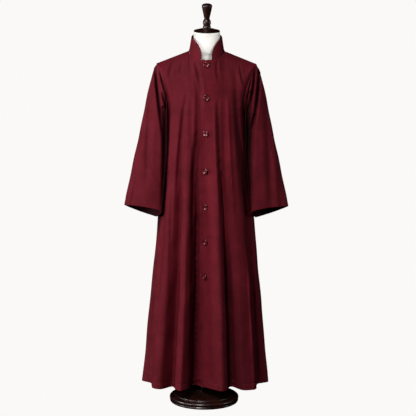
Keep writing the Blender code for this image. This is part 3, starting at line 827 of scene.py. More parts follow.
@dataclass
class Body:
    """The fronts and the back, cut from one ring of columns.

    A place on the top edge counts 0 centre front, 1 side neck, 2 shoulder tip, 3 underarm, 4 tip,
    5 side neck and 6 centre back; 7 to 12 mirror 5 to 0. The sides and the left front's free edge are
    such places, and the lap's columns count as the folds' steps do.
    """

    hem: float = 0.085
    chest: float = 1.280
    neck_half_width: float = 0.0776
    neck_front: float = 0.083
    neck_back: float = 0.066
    neck_side: float = 1.569
    neck_front_drop: float = 0.024
    neck_back_rise: float = 0.016
    shoulder_tip: tuple[float, float, float] = (0.2146, 0.0, 1.514)
    underarm: tuple[float, float, float] = (0.172, 0.0, 1.300)
    armhole_half_depth: float = 0.062
    armhole_hollow: float = 0.016
    square: float = 0.82
    folds_start: float = 1.42
    fold_onset: float = 1.25
    wall: float = 0.0015
    hem_wall: float = 0.0022
    hem_turn: float = 0.028
    turn_fade: float = 0.003
    # The line of stitches is drawn in by this much.
    stitch_line: float = 0.0007
    stitch_line_width: float = 0.0022
    lap_step: float = 0.0024
    lap_columns: int = 4
    lap_rise: int = 3
    placket_stitch: float = 0.006
    finer: int = 5
    yoke_rows: int = 52
    skirt_rows: int = 84
    chest_fall: float = 0.15
    # The rows close to the hem's line of stitches, and how far round it the others stay away.
    close_rows_mm: Sequence[float] = (8, 4.5, 2.4, 1.0, 0.0, -1.0, -2.4, -5.0)
    close_reach: float = 0.012
    crease_start: float = 0.020
    # The yoke's depth is evened above this height, away from its top edge and from the sides.
    even_from: float = 1.28
    even_rise: float = 0.10
    even_start: float = 0.035
    even_side: float = 0.05
    even_passes: int = 240
    # The ripples start this far above the chest, and have their full height so far below that.
    ripple_top: float = 0.10
    ripple_rise: float = 0.25
    left_side: float = 3.0
    right_side: float = 9.0
    free_edge: float = 11.72
    sections: Sequence[Section] = (
        Section(0.085, 0.270, 0.118, 0.150),
        Section(0.450, 0.2360, 0.124, 0.142),
        Section(0.845, 0.2030, 0.128, 0.131),
        Section(1.060, 0.1870, 0.127, 0.121),
        Section(1.280, 0.1715, 0.121, 0.112),
    )
    launches: Sequence[Launch] = (
        Launch(0.00, 0.000, -0.100, -0.200), Launch(0.50, 0.020, -0.110, -0.170),
        Launch(0.75, 0.020, -0.170, -0.100), Launch(1.00, 0.015, -0.250, -0.045),
        Launch(1.50, -0.010, -0.275, -0.045), Launch(1.75, -0.060, -0.285, -0.030),
        Launch(2.00, -0.130, -0.300, 0.000), Launch(2.25, -0.085, -0.115, -0.060),
        Launch(2.50, -0.070, -0.045, -0.100), Launch(2.75, -0.030, -0.015, -0.075),
        Launch(3.00, 0.000, 0.000, -0.022), Launch(3.25, -0.030, 0.015, -0.075),
        Launch(3.50, -0.070, 0.045, -0.100), Launch(3.75, -0.085, 0.115, -0.060),
        Launch(4.00, -0.130, 0.300, 0.000), Launch(4.25, -0.060, 0.285, -0.030),
        Launch(4.50, -0.010, 0.275, -0.045), Launch(5.00, 0.015, 0.250, -0.045),
        Launch(5.25, 0.020, 0.190, -0.100), Launch(5.50, 0.010, 0.130, -0.160),
        Launch(6.00, 0.000, 0.100, -0.200),
    )
    folds: Sequence[Fold] = (
        Fold(0.00, 0.0, 0.000, -0.086, 4), Fold(0.40, 10.5, 0.072, -0.147, 3),
        Fold(0.62, 17.0, 0.099, -0.127, 3), Fold(0.82, 22.0, 0.113, -0.082, 3),
        Fold(1.00, 27.0, 0.139, -0.104, 3), Fold(1.35, 36.0, 0.173, -0.131, 3),
        Fold(1.70, 44.0, 0.208, -0.124, 3), Fold(2.00, 51.0, 0.229, -0.100, 4),
        Fold(2.40, 62.0, 0.229, -0.058, 3), Fold(2.70, 76.0, 0.243, -0.026, 3),
        Fold(3.00, 90.0, 0.283, 0.006, 4), Fold(3.40, 104.0, 0.266, 0.055, 5),
        Fold(4.00, 129.0, 0.205, 0.082, 3), Fold(4.50, 141.0, 0.178, 0.145, 3),
        Fold(5.00, 153.0, 0.122, 0.115, 3), Fold(5.50, 166.0, 0.068, 0.175, 3),
        Fold(6.00, 180.0, 0.000, 0.134, 3), Fold(6.50, 194.0, -0.062, 0.173, 3),
        Fold(7.00, 207.0, -0.126, 0.122, 3), Fold(7.50, 219.0, -0.174, 0.146, 3),
        Fold(8.00, 231.0, -0.208, 0.080, 5), Fold(8.60, 256.0, -0.258, 0.052, 4),
        Fold(9.00, 270.0, -0.276, 0.008, 3), Fold(9.30, 284.0, -0.234, -0.030, 3),
        Fold(9.60, 298.0, -0.232, -0.072, 4), Fold(10.00, 309.0, -0.225, -0.108, 3),
        Fold(10.30, 316.0, -0.190, -0.124, 3), Fold(10.60, 323.5, -0.141, -0.084, 3),
        Fold(10.80, 328.5, -0.124, -0.130, 3), Fold(11.00, 333.0, -0.099, -0.149, 3),
        Fold(11.30, 340.5, -0.068, -0.102, 3), Fold(11.50, 345.5, -0.048, -0.049, 3),
        Fold(11.72, 352.5, -0.031, -0.062, 3),
    )
    # Creases with no depth only paint shade onto the cloth, or paint light where their shade is below 0.
    front_creases: Sequence[Crease] = (
        Crease(-0.0556, 1.5450, -0.0340, 1.4812, -0.0199, 1.4000, 0.009, 0.0060, 0.15),
        Crease(-0.0500, 1.4800, -0.0360, 1.4150, -0.0300, 1.3300, 0.018, 0.0060),
        Crease(0.1180, 1.5100, 0.1290, 1.4250, 0.1380, 1.3400, 0.015, 0.0060),
        Crease(-0.1237, 1.5454, -0.1500, 1.5068, -0.1582, 1.4669, 0.009, 0.0050),
        Crease(-0.1039, 1.5250, -0.1095, 1.5039, -0.1125, 1.4821, 0.007, 0.0030),
        Crease(0.0471, 1.5442, 0.0449, 1.5021, 0.0552, 1.4514, 0.008, 0.0050),
        Crease(0.1446, 1.5180, 0.1501, 1.4699, 0.1703, 1.4179, 0.006, 0.0060, 0.45),
        Crease(-0.0480, 1.1900, -0.0540, 1.0400, -0.0560, 0.7607, 0.009, 0.0120, 0.10),
        Crease(-0.0500, 1.4000, -0.0500, 1.2300, -0.0520, 1.0600, 0.014, -0.0080, 0.0, 0.0),
        Crease(-0.0230, 1.1300, -0.0220, 0.5500, -0.0210, -0.3500, 0.013, -0.0080, 0.0, 0.0),
        Crease(0.0080, 1.4300, 0.0080, 0.7500, 0.0060, -0.3500, 0.044, 0.0, -0.25, 0.0),
        Crease(0.0500, 1.0500, 0.0600, 0.6000, 0.0680, -0.3500, 0.010, 0.0, 0.22, 0.0),
        Crease(-0.1240, 1.2000, -0.1255, 0.8500, -0.1310, 0.3800, 0.012, 0.0, -0.34, 0.0),
        Crease(0.1780, 0.9500, 0.1880, 0.6500, 0.2000, 0.2500, 0.011, 0.0, -0.55, 0.0),
        Crease(0.0850, 1.3800, 0.0920, 1.1500, 0.0980, 0.9500, 0.015, 0.0, -0.34, 0.0),
        Crease(0.1190, 1.3900, 0.1320, 1.1900, 0.1490, 0.9500, 0.010, 0.0, 0.36, 0.0),
        Crease(0.1500, 0.5500, 0.1550, 0.1500, 0.1600, -0.3500, 0.040, 0.0, 0.38, 0.0),
        Crease(-0.2230, 0.8000, -0.2350, 0.4000, -0.2560, -0.3500, 0.022, 0.0, 0.20, 0.0),
        Crease(-0.1150, 1.5700, -0.1150, 1.5200, -0.1150, 1.4700, 0.075, 0.0, 0.20, 0.0),
        Crease(0.1150, 1.5700, 0.1150, 1.5200, 0.1150, 1.4700, 0.075, 0.0, 0.18, 0.0),
        Crease(-0.0260, 1.4900, -0.0260, 1.4100, -0.0260, 1.3100, 0.009, 0.0, 0.16, 0.0),
        Crease(0.0250, 1.5300, 0.0250, 1.4300, 0.0250, 1.3300, 0.030, 0.0, -0.18, 0.0),
        Crease(0.0050, 0.7000, 0.0030, 0.3500, 0.0000, -0.3500, 0.036, 0.0, -0.11, 0.0),
        Crease(-0.1985, 0.9600, -0.2010, 0.8500, -0.2090, 0.7500, 0.010, 0.0, 0.95, 0.0),
        Crease(0.1650, 1.4100, 0.1700, 1.1500, 0.1850, 0.8700, 0.014, 0.0, 0.80, 0.0),
        Crease(-0.0420, 1.0500, -0.0400, 0.6000, -0.0390, -0.3500, 0.010, 0.0060, 0.50, 0.0),
        Crease(-0.1480, 1.1000, -0.1480, 0.8600, -0.1540, 0.5000, 0.012, 0.0050),
        Crease(-0.1550, 1.4200, -0.1550, 1.2000, -0.1640, 0.9500, 0.009, -0.0060, 0.0, 0.0),
        Crease(-0.0551, 0.9350, -0.0541, 0.5777, -0.0539, 0.0000, 0.010, 0.0100, 0.10),
        Crease(0.0482, 1.3800, 0.0600, 1.0938, 0.0850, 0.7169, 0.009, 0.0130, 0.20),
        Crease(0.0920, 1.4000, 0.1030, 1.1500, 0.1260, 0.8000, 0.012, -0.0090, 0.0, 0.0),
        Crease(0.0860, 0.7500, 0.1180, 0.3500, 0.1440, -0.2500, 0.020, 0.0130, 0.48, 0.10),
        Crease(0.1220, 1.4200, 0.1460, 1.1700, 0.1760, 0.8600, 0.014, 0.0180, 0.30, 0.10),
        Crease(-0.0850, 1.4000, -0.1080, 1.2000, -0.1270, 0.9300, 0.010, 0.0065, 0.10),
        Crease(-0.1990, 0.7400, -0.2210, 0.4700, -0.2430, 0.1000, 0.007, 0.0040),
        Crease(0.1830, 0.8000, 0.2040, 0.4200, 0.2260, 0.0300, 0.009, -0.0100, 0.0, 0.0),
        Crease(0.1980, 0.7500, 0.2180, 0.4200, 0.2400, 0.0300, 0.010, 0.0100, 0.20),
        Crease(-0.0300, 1.2320, -0.0450, 1.2160, -0.0600, 1.1950, 0.007, 0.0040),
        Crease(-0.0280, 1.0700, -0.0360, 1.0580, -0.0440, 1.0450, 0.005, 0.0035),
        Crease(-0.0300, 0.3520, -0.0050, 0.3450, 0.0250, 0.3500, 0.006, 0.0015),
        Crease(-0.0250, 0.3200, 0.0000, 0.3120, 0.0200, 0.3180, 0.005, 0.0012),
    )
    back_creases: Sequence[Crease] = (
        Crease(-0.060, 1.560, -0.075, 1.490, -0.078, 1.400, 0.014, 0.0040),
        Crease(0.064, 1.562, 0.070, 1.480, 0.064, 1.370, 0.014, 0.0045),
        Crease(0.012, 1.545, 0.010, 1.450, 0.018, 1.330, 0.018, 0.0035),
        Crease(-0.1100, 1.4200, -0.1180, 1.2000, -0.1250, 0.9500, 0.014, 0.0050, 0.10),
        Crease(0.0980, 1.4000, 0.1050, 1.1500, 0.1180, 0.8800, 0.016, 0.0060, 0.12),
        Crease(0.0200, 1.1200, 0.0240, 0.8000, 0.0300, 0.4800, 0.013, 0.0045, 0.06),
    )
    ripples: Sequence[Ripple] = (
        Ripple(0.190, 0.90, 0.4, 0.0012),
        Ripple(-0.127, 0.61, 1.9, 0.0009),
        Ripple(0.083, 0.47, 4.1, 0.0006),
        Ripple(-0.260, 0.21, 2.6, 0.0005),
    )
    edges: Grid = field(init=False, repr=False)
    sheet: Sheet = field(init=False, repr=False)

    def __post_init__(self) -> None:
        """Lay out the ring and press its creases."""
        columns = self.lay_out()
        self.edges = columns[:, 0]
        grid = np.array([self.column(*c) for c in columns]).transpose(1, 0, 2)
        self.sheet = Sheet(grid, closed=True)
        self.dress()

    def armhole(self, turn: float) -> Grid:
        """A point of the armhole on the +X side.

        Args:
            turn: 0 at the shoulder tip and pi at the underarm, with the front between them.

        Returns:
            The point.
        """
        tip, under = np.array(self.shoulder_tip), np.array(self.underarm)
        sine = math.sin(turn)
        scoop = np.array([-self.armhole_hollow * sine**2, -self.armhole_half_depth * sine, 0.0])
        return (tip + under) / 2 + math.cos(turn) * (tip - under) / 2 + scoop

    def neck(self, turn: float) -> Grid:
        """A point of the neckline.

        Args:
            turn: 0 at centre front, pi / 2 at the +X side and pi at centre back.

        Returns:
            The point.
        """
        x, y = oval(self.neck_half_width, self.neck_front, self.neck_back, turn)
        rise = -self.neck_front_drop if math.cos(turn) > 0 else -self.neck_back_rise
        return np.array([x, y, self.neck_side + rise * math.cos(turn)])

    def top(self, edge: float) -> Grid:
        """A point of the top edge.

        Args:
            edge: its place there, from 0 to 12.

        Returns:
            The point.
        """
        edge %= 12.0
        if edge > 6.0:
            return self.top(12.0 - edge) * (-1, 1, 1)
        side_neck, tip = self.neck(math.pi / 2), np.array(self.shoulder_tip)
        if edge <= 1:
            return self.neck(edge * math.pi / 2)
        if edge <= 2:
            return side_neck + (tip - side_neck) * (edge - 1)
        if edge <= 4:
            return self.armhole((edge - 2) * math.pi)
        if edge <= 5:
            return tip + (side_neck - tip) * (edge - 4)
        return self.neck((edge - 4) * math.pi / 2)

    def launch(self, edge: float) -> Grid:
        """The way and distance with which a column leaves the top edge.

        Args:
            edge: its place there, from 0 to 12.

        Returns:
            A vector.
        """
        edge %= 12.0
        if edge > 6.0:
            return self.launch(12.0 - edge) * (-1, 1, 1)
        table = np.array(self.launches)
        return smooth_rows(table[:, 0], table[:, 1:], edge)[0]

    def plain(self, bearing: float, height: Grid) -> Grid:
        """The unfolded body.

        Args:
            bearing: in radians from the front.
            height: the heights to read.

        Returns:
            A point for each height.
        """
        table = np.array(self.sections)
        half_width, front, back = smooth_rows(table[:, 0], table[:, 1:], height).T
        across_deep = oval(half_width, front, back, bearing, self.square)
        return np.column_stack([across_deep, np.atleast_1d(height)])

    def lay_out(self) -> Grid:
        """Lay out every column, on a closed spline through the folds.

        Returns:
            The edge, bearing and hem place of each.
        """
        rows = np.array([f[:4] for f in self.folds], float)
        turn = np.array([12.0, 360.0, 0.0, 0.0])
        rows = np.vstack([rows[-1] - turn, rows, rows[:2] + turn])
        columns = []
        for a, b, c, d, fold in zip(rows, rows[1:], rows[2:], rows[3:], self.folds):
            count = fold.steps * self.finer
            columns += [hermite(b, c, (c - a) / 2, (d - b) / 2, k / count) for k in range(count)]
        return np.array(columns)

    def column(self, edge: float, bearing: float, hem_x: float, hem_y: float) -> Grid:
        """One column of the body.

        Args:
            edge: its place on the top edge.
            bearing: its degrees round the chest from centre front.
            hem_x: its place on the hem, across.
            hem_y: its place on the hem, from front to back.

        Returns:
            Its points, from the top edge to the hem.
        """
        bearing = math.radians(bearing)
        skirt = self.plain(bearing, np.array(self.skirt_heights()))
        below = self.plain(bearing, self.chest - self.chest_fall)[0]
        top, chest = self.top(edge), skirt[0]
        fall = unit(below - chest) * np.linalg.norm(top - chest)
        t = np.linspace(0, 1, self.yoke_rows + 1)[:-1, None]
        points = np.vstack([hermite(top, chest, self.launch(edge), fall, t), skirt])
        full_fold = np.array([hem_x, hem_y, self.hem]) - skirt[-1]
        start = min(self.folds_start, top[2])
        fallen = np.clip((start - points[:, 2]) / (start - self.hem), 0, 1)
        growth = np.sin(fallen * math.pi / 2) ** self.fold_onset
        return points + growth[:, None] * full_fold

    def skirt_heights(self) -> list[float]:
        """Space the skirt's rows, closer together round the hem's line of stitches.

        Returns:
            Their heights, from the chest to the hem.
        """
        line = self.hem + self.hem_turn
        even = np.linspace(self.chest, line + self.close_reach, self.skirt_rows)
        close = [line + step * MM for step in self.close_rows_mm]
        return [*even, *close, *np.linspace(line - self.close_reach, self.hem, 5)]

    def dress(self) -> None:
        """Even the yoke along its rows, and press the ripples, creases and hem's line into the cloth."""
        points = self.sheet.points
        from_top = np.linalg.norm(points - points[0], axis=2)
        depth = points[..., 1]
        upper = eased((points[..., 2] - self.even_from) / self.even_rise)
        upper = upper * eased(from_top / self.even_start) * eased(np.abs(depth) / self.even_side)
        points[..., 1] = depth + (self.sheet.evened(depth, self.even_passes, down=False) - depth) * upper
        low = self.chest + self.ripple_top - points[..., 2]
        self.sheet.ripple(self.ripples, eased(low / self.ripple_rise))
        hold = eased(from_top / self.crease_start)
        self.sheet.crease(self.front_creases, View.FRONT, hold)
        self.sheet.crease(self.back_creases, View.BACK, hold)
        off = points[..., 2] - (self.hem + self.hem_turn)
        self.sheet.press(self.stitch_line * bell(off, self.stitch_line_width))

    def column_of(self, edge: float) -> int:
        """The number of the column that leaves the top edge there."""
        return int(np.argmin(np.abs(self.edges - edge)))

    def panel(self, first: int, last: int, inward: Grid | None = None) -> Sheet:
        """Cut a panel from the ring.

        Args:
            first: its first column.
            last: its last column.
            inward: for each column, how far it lies in from the ring, where it is lapped.

        Returns:
            The panel.
        """
        picked = np.arange(first, last + 1) % self.sheet.points.shape[1]
        points = self.sheet.points[:, picked]
        if inward is not None:
            points = points - self.sheet.normals()[:, picked] * inward[None, :, None]
        return Sheet(points, painted_shade=self.sheet.painted_shade[:, picked])

    def front_left(self) -> Sheet:
        """The wearer's left front, from its free edge to the side seam."""
        return self.panel(self.column_of(self.free_edge), self.column_of(self.left_side) + len(self.edges))

    def front_right(self) -> Sheet:
        """The wearer's right front, from the side seam to where it ends under the left one.

        Returns:
            The panel.
        """
        lap, rise = self.lap_columns * self.finer, self.lap_rise * self.finer
        free_edge = self.column_of(self.free_edge)
        first, last = self.column_of(self.right_side), free_edge + lap
        under = eased((np.arange(first, last + 1) - free_edge + rise) / rise)
        return self.panel(first, last, under * self.lap_step)

    def back(self) -> Sheet:
        """The back, from side seam to side seam."""
        return self.panel(self.column_of(self.left_side), self.column_of(self.right_side))

    def thickness(self, sheet: Sheet) -> Grid:
        """The wall of a panel, thicker where the hem is turned up inside.

        Args:
            sheet: the panel.

        Returns:
            The thickness at each point.
        """
        turned = eased((self.hem + self.hem_turn - sheet.points[..., 2]) / self.turn_fade + 0.5)
        return self.wall + (self.hem_wall - self.wall) * turned

    def seams(self, sheet: Sheet) -> list[Line]:
        """The line of stitches of a panel's hem."""
        return [line_inside(sheet, Edge.BOTTOM, self.hem_turn)]

    def placket_seam(self, sheet: Sheet) -> Line:
        """The line of stitches beside the left front's free edge."""
        return line_inside(sheet, Edge.FIRST, self.placket_stitch)


# ================================================================ sleeves
class Cuffward(NamedTuple):
    """One oval of a sleeve, given by its outer and inner point in the front view.

    `lift` raises its front half and lowers its back half, and the hollows draw the middle of each half
    in towards the body.
    """

    outer_x: float
    outer_z: float
    inner_x: float
    inner_z: float
    centre_y: float
    half_depth: float
    lift: float
    front_hollow: float
    back_hollow: float


@dataclass
class Sleeve:
    """A long sleeve, wide at the cuff and laid a little before the side of the body.

    It is shaped on the +X side, and turned over for the wearer's right. Its columns are gathered closer
    together round the turn that faces the body, and it swings out towards the cuff.
    """

    side: Side
    swing: float
    creases: Sequence[Crease]
    back_creases: Sequence[Crease]
    stand_off: float = 0.0005
    wall: float = 0.0015
    hem_wall: float = 0.0022
    hem_turn: float = 0.025
    turn_fade: float = 0.003
    stitch_line: float = 0.0006
    stitch_line_width: float = 0.0035
    swing_power: float = 1.5
    crease_start: float = 0.03
    columns: int = 260
    gathered: float = 0.55
    gathered_at: float = 120.0
    rows: int = 150
    sections: Sequence[Cuffward] = (
        Cuffward(0.2146, 1.514, 0.1720, 1.300, 0.000, 0.062, 0.000, 0.016, 0.016),
        Cuffward(0.2322, 1.474, 0.1800, 1.268, -0.002, 0.068, 0.000, 0.029, 0.020),
        Cuffward(0.2520, 1.385, 0.1865, 1.215, -0.004, 0.071, 0.002, 0.044, 0.008),
        Cuffward(0.2860, 1.225, 0.1920, 1.115, -0.007, 0.072, 0.006, 0.059, 0.000),
        Cuffward(0.3230, 1.050, 0.2010, 0.980, -0.012, 0.068, 0.014, 0.069, 0.000),
        Cuffward(0.3556, 0.889, 0.2135, 0.838, -0.016, 0.060, 0.0175, 0.077, 0.000),
    )
    ripples: Sequence[Ripple] = (
        Ripple(0.170, 0.55, 1.2, 0.0014),
        Ripple(-0.110, 0.38, 3.3, 0.0009),
        Ripple(0.240, 0.16, 0.7, 0.0007),
    )

    def sheet(self) -> Sheet:
        """Lay the outer side of the sleeve, and crease it.

        Returns:
            The cloth, from the armhole to the cuff.
        """
        even = np.linspace(math.tau, 0, self.columns, endpoint=False)
        turn = even - self.gathered * np.sin(even - math.radians(self.gathered_at))
        table = np.array(self.sections)
        along = np.linspace(0, 1, self.rows)
        rows = smooth_rows(np.linspace(0, 1, len(table)), table, along)
        cosine, sine = np.cos(turn)[None], np.sin(turn)[None]
        ox, oz, ix, iz, centre_y, half_depth, lift, front_hollow, back_hollow = rows.T[:, :, None]
        hollow = np.where(sine > 0, front_hollow, back_hollow)
        shift = self.stand_off + self.swing * along[:, None] ** self.swing_power
        x = (ox + ix) / 2 + (ox - ix) / 2 * cosine - hollow * sine**2 + shift
        y = centre_y - half_depth * sine
        z = (oz + iz) / 2 + (oz - iz) / 2 * cosine + lift * sine
        sheet = Sheet(np.stack([x, y, z], axis=-1), closed=True)
        hold = eased(along / self.crease_start)[:, None].repeat(self.columns, axis=1)
        sheet.ripple(self.ripples, hold)
        sheet.crease(self.creases, View.FRONT, hold)
        sheet.crease(self.back_creases, View.BACK, hold)
        sheet.press(self.stitch_line * bell(self.from_cuff(sheet) - self.hem_turn, self.stitch_line_width))
        if self.side is Side.RIGHT:
            sheet.points = sheet.points[:, ::-1] * (-1, 1, 1)
            sheet.painted_shade = sheet.painted_shade[:, ::-1]
        return sheet

    def from_cuff(self, sheet: Sheet) -> Grid:
        """How far up the cloth each point lies from the cuff's edge."""
        down = travelled(sheet.points)
        return down[-1] - down

    def thickness(self, sheet: Sheet) -> Grid:
        """The wall of the sleeve, thicker where its cuff is turned up inside.

        Args:
            sheet: its cloth.

        Returns:
            The thickness at each point.
        """
        turned = eased((self.hem_turn - self.from_cuff(sheet)) / self.turn_fade + 0.5)
        return self.wall + (self.hem_wall - self.wall) * turned

    def seams(self, sheet: Sheet) -> list[Line]:
        """The line of stitches round the cuff."""
        return [line_inside(sheet, Edge.BOTTOM, self.hem_turn)]


# The creases of each sleeve, both drawn as on the +X side. Most also paint shade into their folds.
LEFT_SLEEVE_FRONT = (
    Crease(0.1960, 1.4950, 0.1866, 1.4372, 0.1710, 1.3600, 0.0040, 0.0080, 1.00, 0.05),
    Crease(0.2080, 1.5050, 0.2010, 1.4211, 0.1860, 1.3160, 0.0070, 0.0180, 0.90, 0.05),
    Crease(0.2275, 1.5150, 0.2215, 1.3900, 0.2000, 1.2300, 0.0085, 0.0240, 0.95, 0.05),
    Crease(0.2080, 1.3100, 0.2010, 1.2300, 0.1986, 1.0918, 0.0120, 0.0140, 0.30, 0.10),
    Crease(0.1780, 1.4100, 0.1780, 1.2000, 0.1880, 0.8700, 0.0270, 0.0300, 1.00, 0.00),
    Crease(0.2520, 1.4200, 0.2680, 1.1900, 0.2830, 0.8800, 0.0160, 0.0100, 0.15, 0.20),
    Crease(0.2920, 1.2000, 0.3060, 1.0300, 0.3180, 0.8400, 0.0160, -0.0070),
)
RIGHT_SLEEVE_FRONT = (
    Crease(0.2250, 1.5150, 0.2105, 1.3900, 0.1860, 1.2100, 0.0075, 0.0280, 0.95, 0.05),
    Crease(0.2056, 1.5080, 0.1901, 1.4385, 0.1694, 1.3700, 0.0045, 0.0090, 1.00, 0.05),
    Crease(0.1906, 1.4000, 0.1811, 1.3600, 0.1691, 1.3130, 0.0060, 0.0100, 0.90, 0.05),
    Crease(0.1890, 1.3400, 0.1770, 1.1700, 0.1850, 0.8700, 0.0150, 0.0350, 1.00, 0.00),
    Crease(0.1745, 1.4100, 0.1735, 1.3000, 0.1750, 1.1800, 0.0075, 0.0140, 1.00, 0.00),
    Crease(0.2350, 1.4200, 0.2490, 1.2300, 0.2560, 0.9900, 0.0160, 0.0080, 0.10, 0.20),
    Crease(0.2588, 1.0716, 0.2153, 1.0368, 0.1804, 0.9927, 0.0140, 0.0055),
    Crease(0.2640, 0.9480, 0.2510, 0.9350, 0.2380, 0.9220, 0.0060, 0.0020),
)
LEFT_SLEEVE_BACK = (
    Crease(0.2060, 1.4900, 0.1980, 1.4200, 0.1880, 1.3400, 0.0080, 0.0050, 0.25, 0.10),
    Crease(0.2380, 1.4300, 0.2480, 1.2500, 0.2560, 1.0200, 0.0150, 0.0055, 0.10, 0.20),
    Crease(0.2750, 1.2500, 0.2900, 1.0800, 0.3050, 0.8700, 0.0150, 0.0045, 0.08, 0.20),
    Crease(0.2560, 1.1300, 0.2300, 1.0950, 0.2080, 1.0500, 0.0120, 0.0040, 0.10),
)
RIGHT_SLEEVE_BACK = (
    Crease(0.2120, 1.4800, 0.2030, 1.4000, 0.1900, 1.3000, 0.0090, 0.0055, 0.25, 0.10),
    Crease(0.2480, 1.4000, 0.2600, 1.2000, 0.2700, 0.9600, 0.0160, 0.0050, 0.10, 0.20),
    Crease(0.2400, 1.0900, 0.2200, 1.0600, 0.2050, 1.0100, 0.0110, 0.0040, 0.10),
)


# ================================================================ collar
@dataclass
class Collar:
    """A stand collar, open at the front, where its two ends curve down to the neckline.

    Its seam lies tucked a little in and down behind the neckline, and its columns are closer together
    at its two ends.
    """

    body: Body
    top_half_width: float = 0.0662
    top_front: float = 0.068
    top_back: float = 0.0625
    top_side: float = 1.630
    top_back_rise: float = 0.012
    front_bearing: float = 17.5
    full_bearing: float = 80.0
    front_height: float = 0.016
    tuck_in: float = 0.0016
    tuck_down: float = 0.0020
    wall: float = 0.0026
    edge_stitch: float = 0.004
    columns: int = 200
    ends_closer: float = 1.35
    rows: int = 24

    def sheet(self) -> Sheet:
        """Lay the outer side of the collar.

        Returns:
            The cloth, from its top edge down to its seam.
        """
        spread = np.linspace(-1, 1, self.columns + 1)
        drawn = np.sign(spread) * (1 - (1 - np.abs(spread)) ** self.ends_closer)
        bearing = math.pi + drawn * (math.pi - math.radians(self.front_bearing))
        base = np.array([self.body.neck(turn) for turn in np.minimum(bearing, math.tau - bearing)])
        base[:, 0] *= np.where(bearing <= math.pi, 1, -1)
        base[:, :2] *= 1 - self.tuck_in / np.linalg.norm(base[:, :2], axis=1)[:, None]
        base[:, 2] -= self.tuck_down
        plan = oval(self.top_half_width, self.top_front, self.top_back, bearing)
        height = self.top_side - np.minimum(np.cos(bearing), 0) * self.top_back_rise
        top = np.column_stack([plan, height])
        low = self.front_height / (self.top_side - self.body.neck_side + self.body.neck_front_drop)
        share = low + (1 - low) * self.rounded(bearing)
        up = np.linspace(1, 0, self.rows + 1)[:, None, None]
        return Sheet(base + (top - base) * share[None, :, None] * up)

    def rounded(self, bearing: Grid) -> Grid:
        """Round the collar off at its two front corners.

        Args:
            bearing: in radians from the front, for each column.

        Returns:
            The share of the collar's full height there.
        """
        first, full = math.radians(self.front_bearing), math.radians(self.full_bearing)
        share = np.clip((np.minimum(bearing, math.tau - bearing) - first) / (full - first), 0, 1)
        return np.sqrt(1 - (1 - share) ** 2)

    def thickness(self, sheet: Sheet) -> Grid:
        """The wall of the collar: two layers of cloth over an interlining."""
        return np.full(sheet.points.shape[:2], self.wall)

    def seams(self, sheet: Sheet) -> list[Line]:
        """The line of stitches along the collar's top edge."""
        return [line_inside(sheet, Edge.TOP, self.edge_stitch)]


# ================================================================ stitches
class Edge(Enum):
    """An edge of a sheet."""

    TOP = "top"
    BOTTOM = "bottom"
    FIRST = "first"


def line_inside(sheet: Sheet, edge: Edge, distance: float) -> Line:
    """A line on a sheet at one distance inside an edge.

    Args:
        sheet: the cloth.
        edge: the edge that the line follows.
        distance: how far inside it the line runs.

    Returns:
        The line's points, and the way the cloth faces there.
    """
    grid = np.concatenate([sheet.points, sheet.normals()], axis=2)
    if edge is Edge.BOTTOM:
        grid = grid[::-1]
    elif edge is Edge.FIRST:
        grid = grid.transpose(1, 0, 2)
    depth = travelled(grid[..., :3])
    after = np.clip((depth < distance).sum(axis=0), 1, len(depth) - 1)
    column = np.arange(grid.shape[1])
    low, high = depth[after - 1, column], depth[after, column]
    share = ((distance - low) / (high - low))[:, None]
    line = grid[after - 1, column] * (1 - share) + grid[after, column] * share
    if sheet.closed and edge is not Edge.FIRST:
        line = np.vstack([line, line[:1]])
    return line[:, :3], unit(line[:, 3:])


@dataclass
class Needle:
    """Lockstitching: short stitches sunk into the cloth, end to end."""

    thread: bpy.types.Material
    pitch: float = 0.0034
    length: float = 0.0026
    radius: float = 0.00034
    sides: int = 5
    sections: Sequence[tuple[float, float]] = ((-0.5, 0.0), (-0.36, 0.8), (0.0, 1.0), (0.36, 0.8), (0.5, 0.0))

    def sew(self, name: str, lines: Sequence[Line]) -> bpy.types.Object:
        """Sew along lines on the cloth.

        Args:
            name: the piece's name.
            lines: points and facing of each line.

        Returns:
            All the stitches as one piece.
        """
        vertices, faces = [], []
        for points, facing in lines:
            run = np.concatenate([[0.0], np.cumsum(np.linalg.norm(np.diff(points, axis=0), axis=1))])
            for middle in np.arange(self.pitch, run[-1] - self.pitch / 2, self.pitch):
                ends = [self.read(run, points, middle + s * self.length / 2) for s in (-1, 1)]
                up = unit(self.read(run, facing, middle))
                self.stitch((ends[0] + ends[1]) / 2, unit(ends[1] - ends[0]), up, vertices, faces)
        return new_piece(name, vertices, faces, self.thread)

    @staticmethod
    def read(run: Grid, rows: Grid, at: float) -> Grid:
        """A row between the rows of a line, at a distance along it."""
        return np.array([np.interp(at, run, rows[:, k]) for k in range(3)])

    def stitch(self, middle: Grid, along: Grid, up: Grid, vertices: list, faces: list) -> None:
        """Add one stitch.

        Args:
            middle: its place.
            along: the way it runs.
            up: the way the cloth faces.
            vertices: the list that its vertices are added to.
            faces: the list that its faces are added to.
        """
        beside = unit(np.cross(along, up))
        rings = []
        for place, girth in self.sections:
            at = middle + along * place * self.length
            if girth == 0.0:
                rings.append([len(vertices)])
                vertices.append(at.tolist())
                continue
            rings.append(list(range(len(vertices), len(vertices) + self.sides)))
            for k in range(self.sides):
                turn = math.tau * k / self.sides
                off = (beside * math.cos(turn) + up * math.sin(turn)) * self.radius * girth
                vertices.append((at + off).tolist())
        for a, b in zip(rings, rings[1:]):
            for k in range(self.sides):
                low = (a[k % len(a)], a[(k + 1) % len(a)])
                high = (b[(k + 1) % len(b)], b[k % len(b)])
                faces.append(tuple(dict.fromkeys((*low, *high)))[::-1])


# ================================================================ turned work
class Turn(NamedTuple):
    """A point of a turned profile; the line bends smoothly through it unless it is a corner."""

    radius: float
    height: float
    corner: bool = False


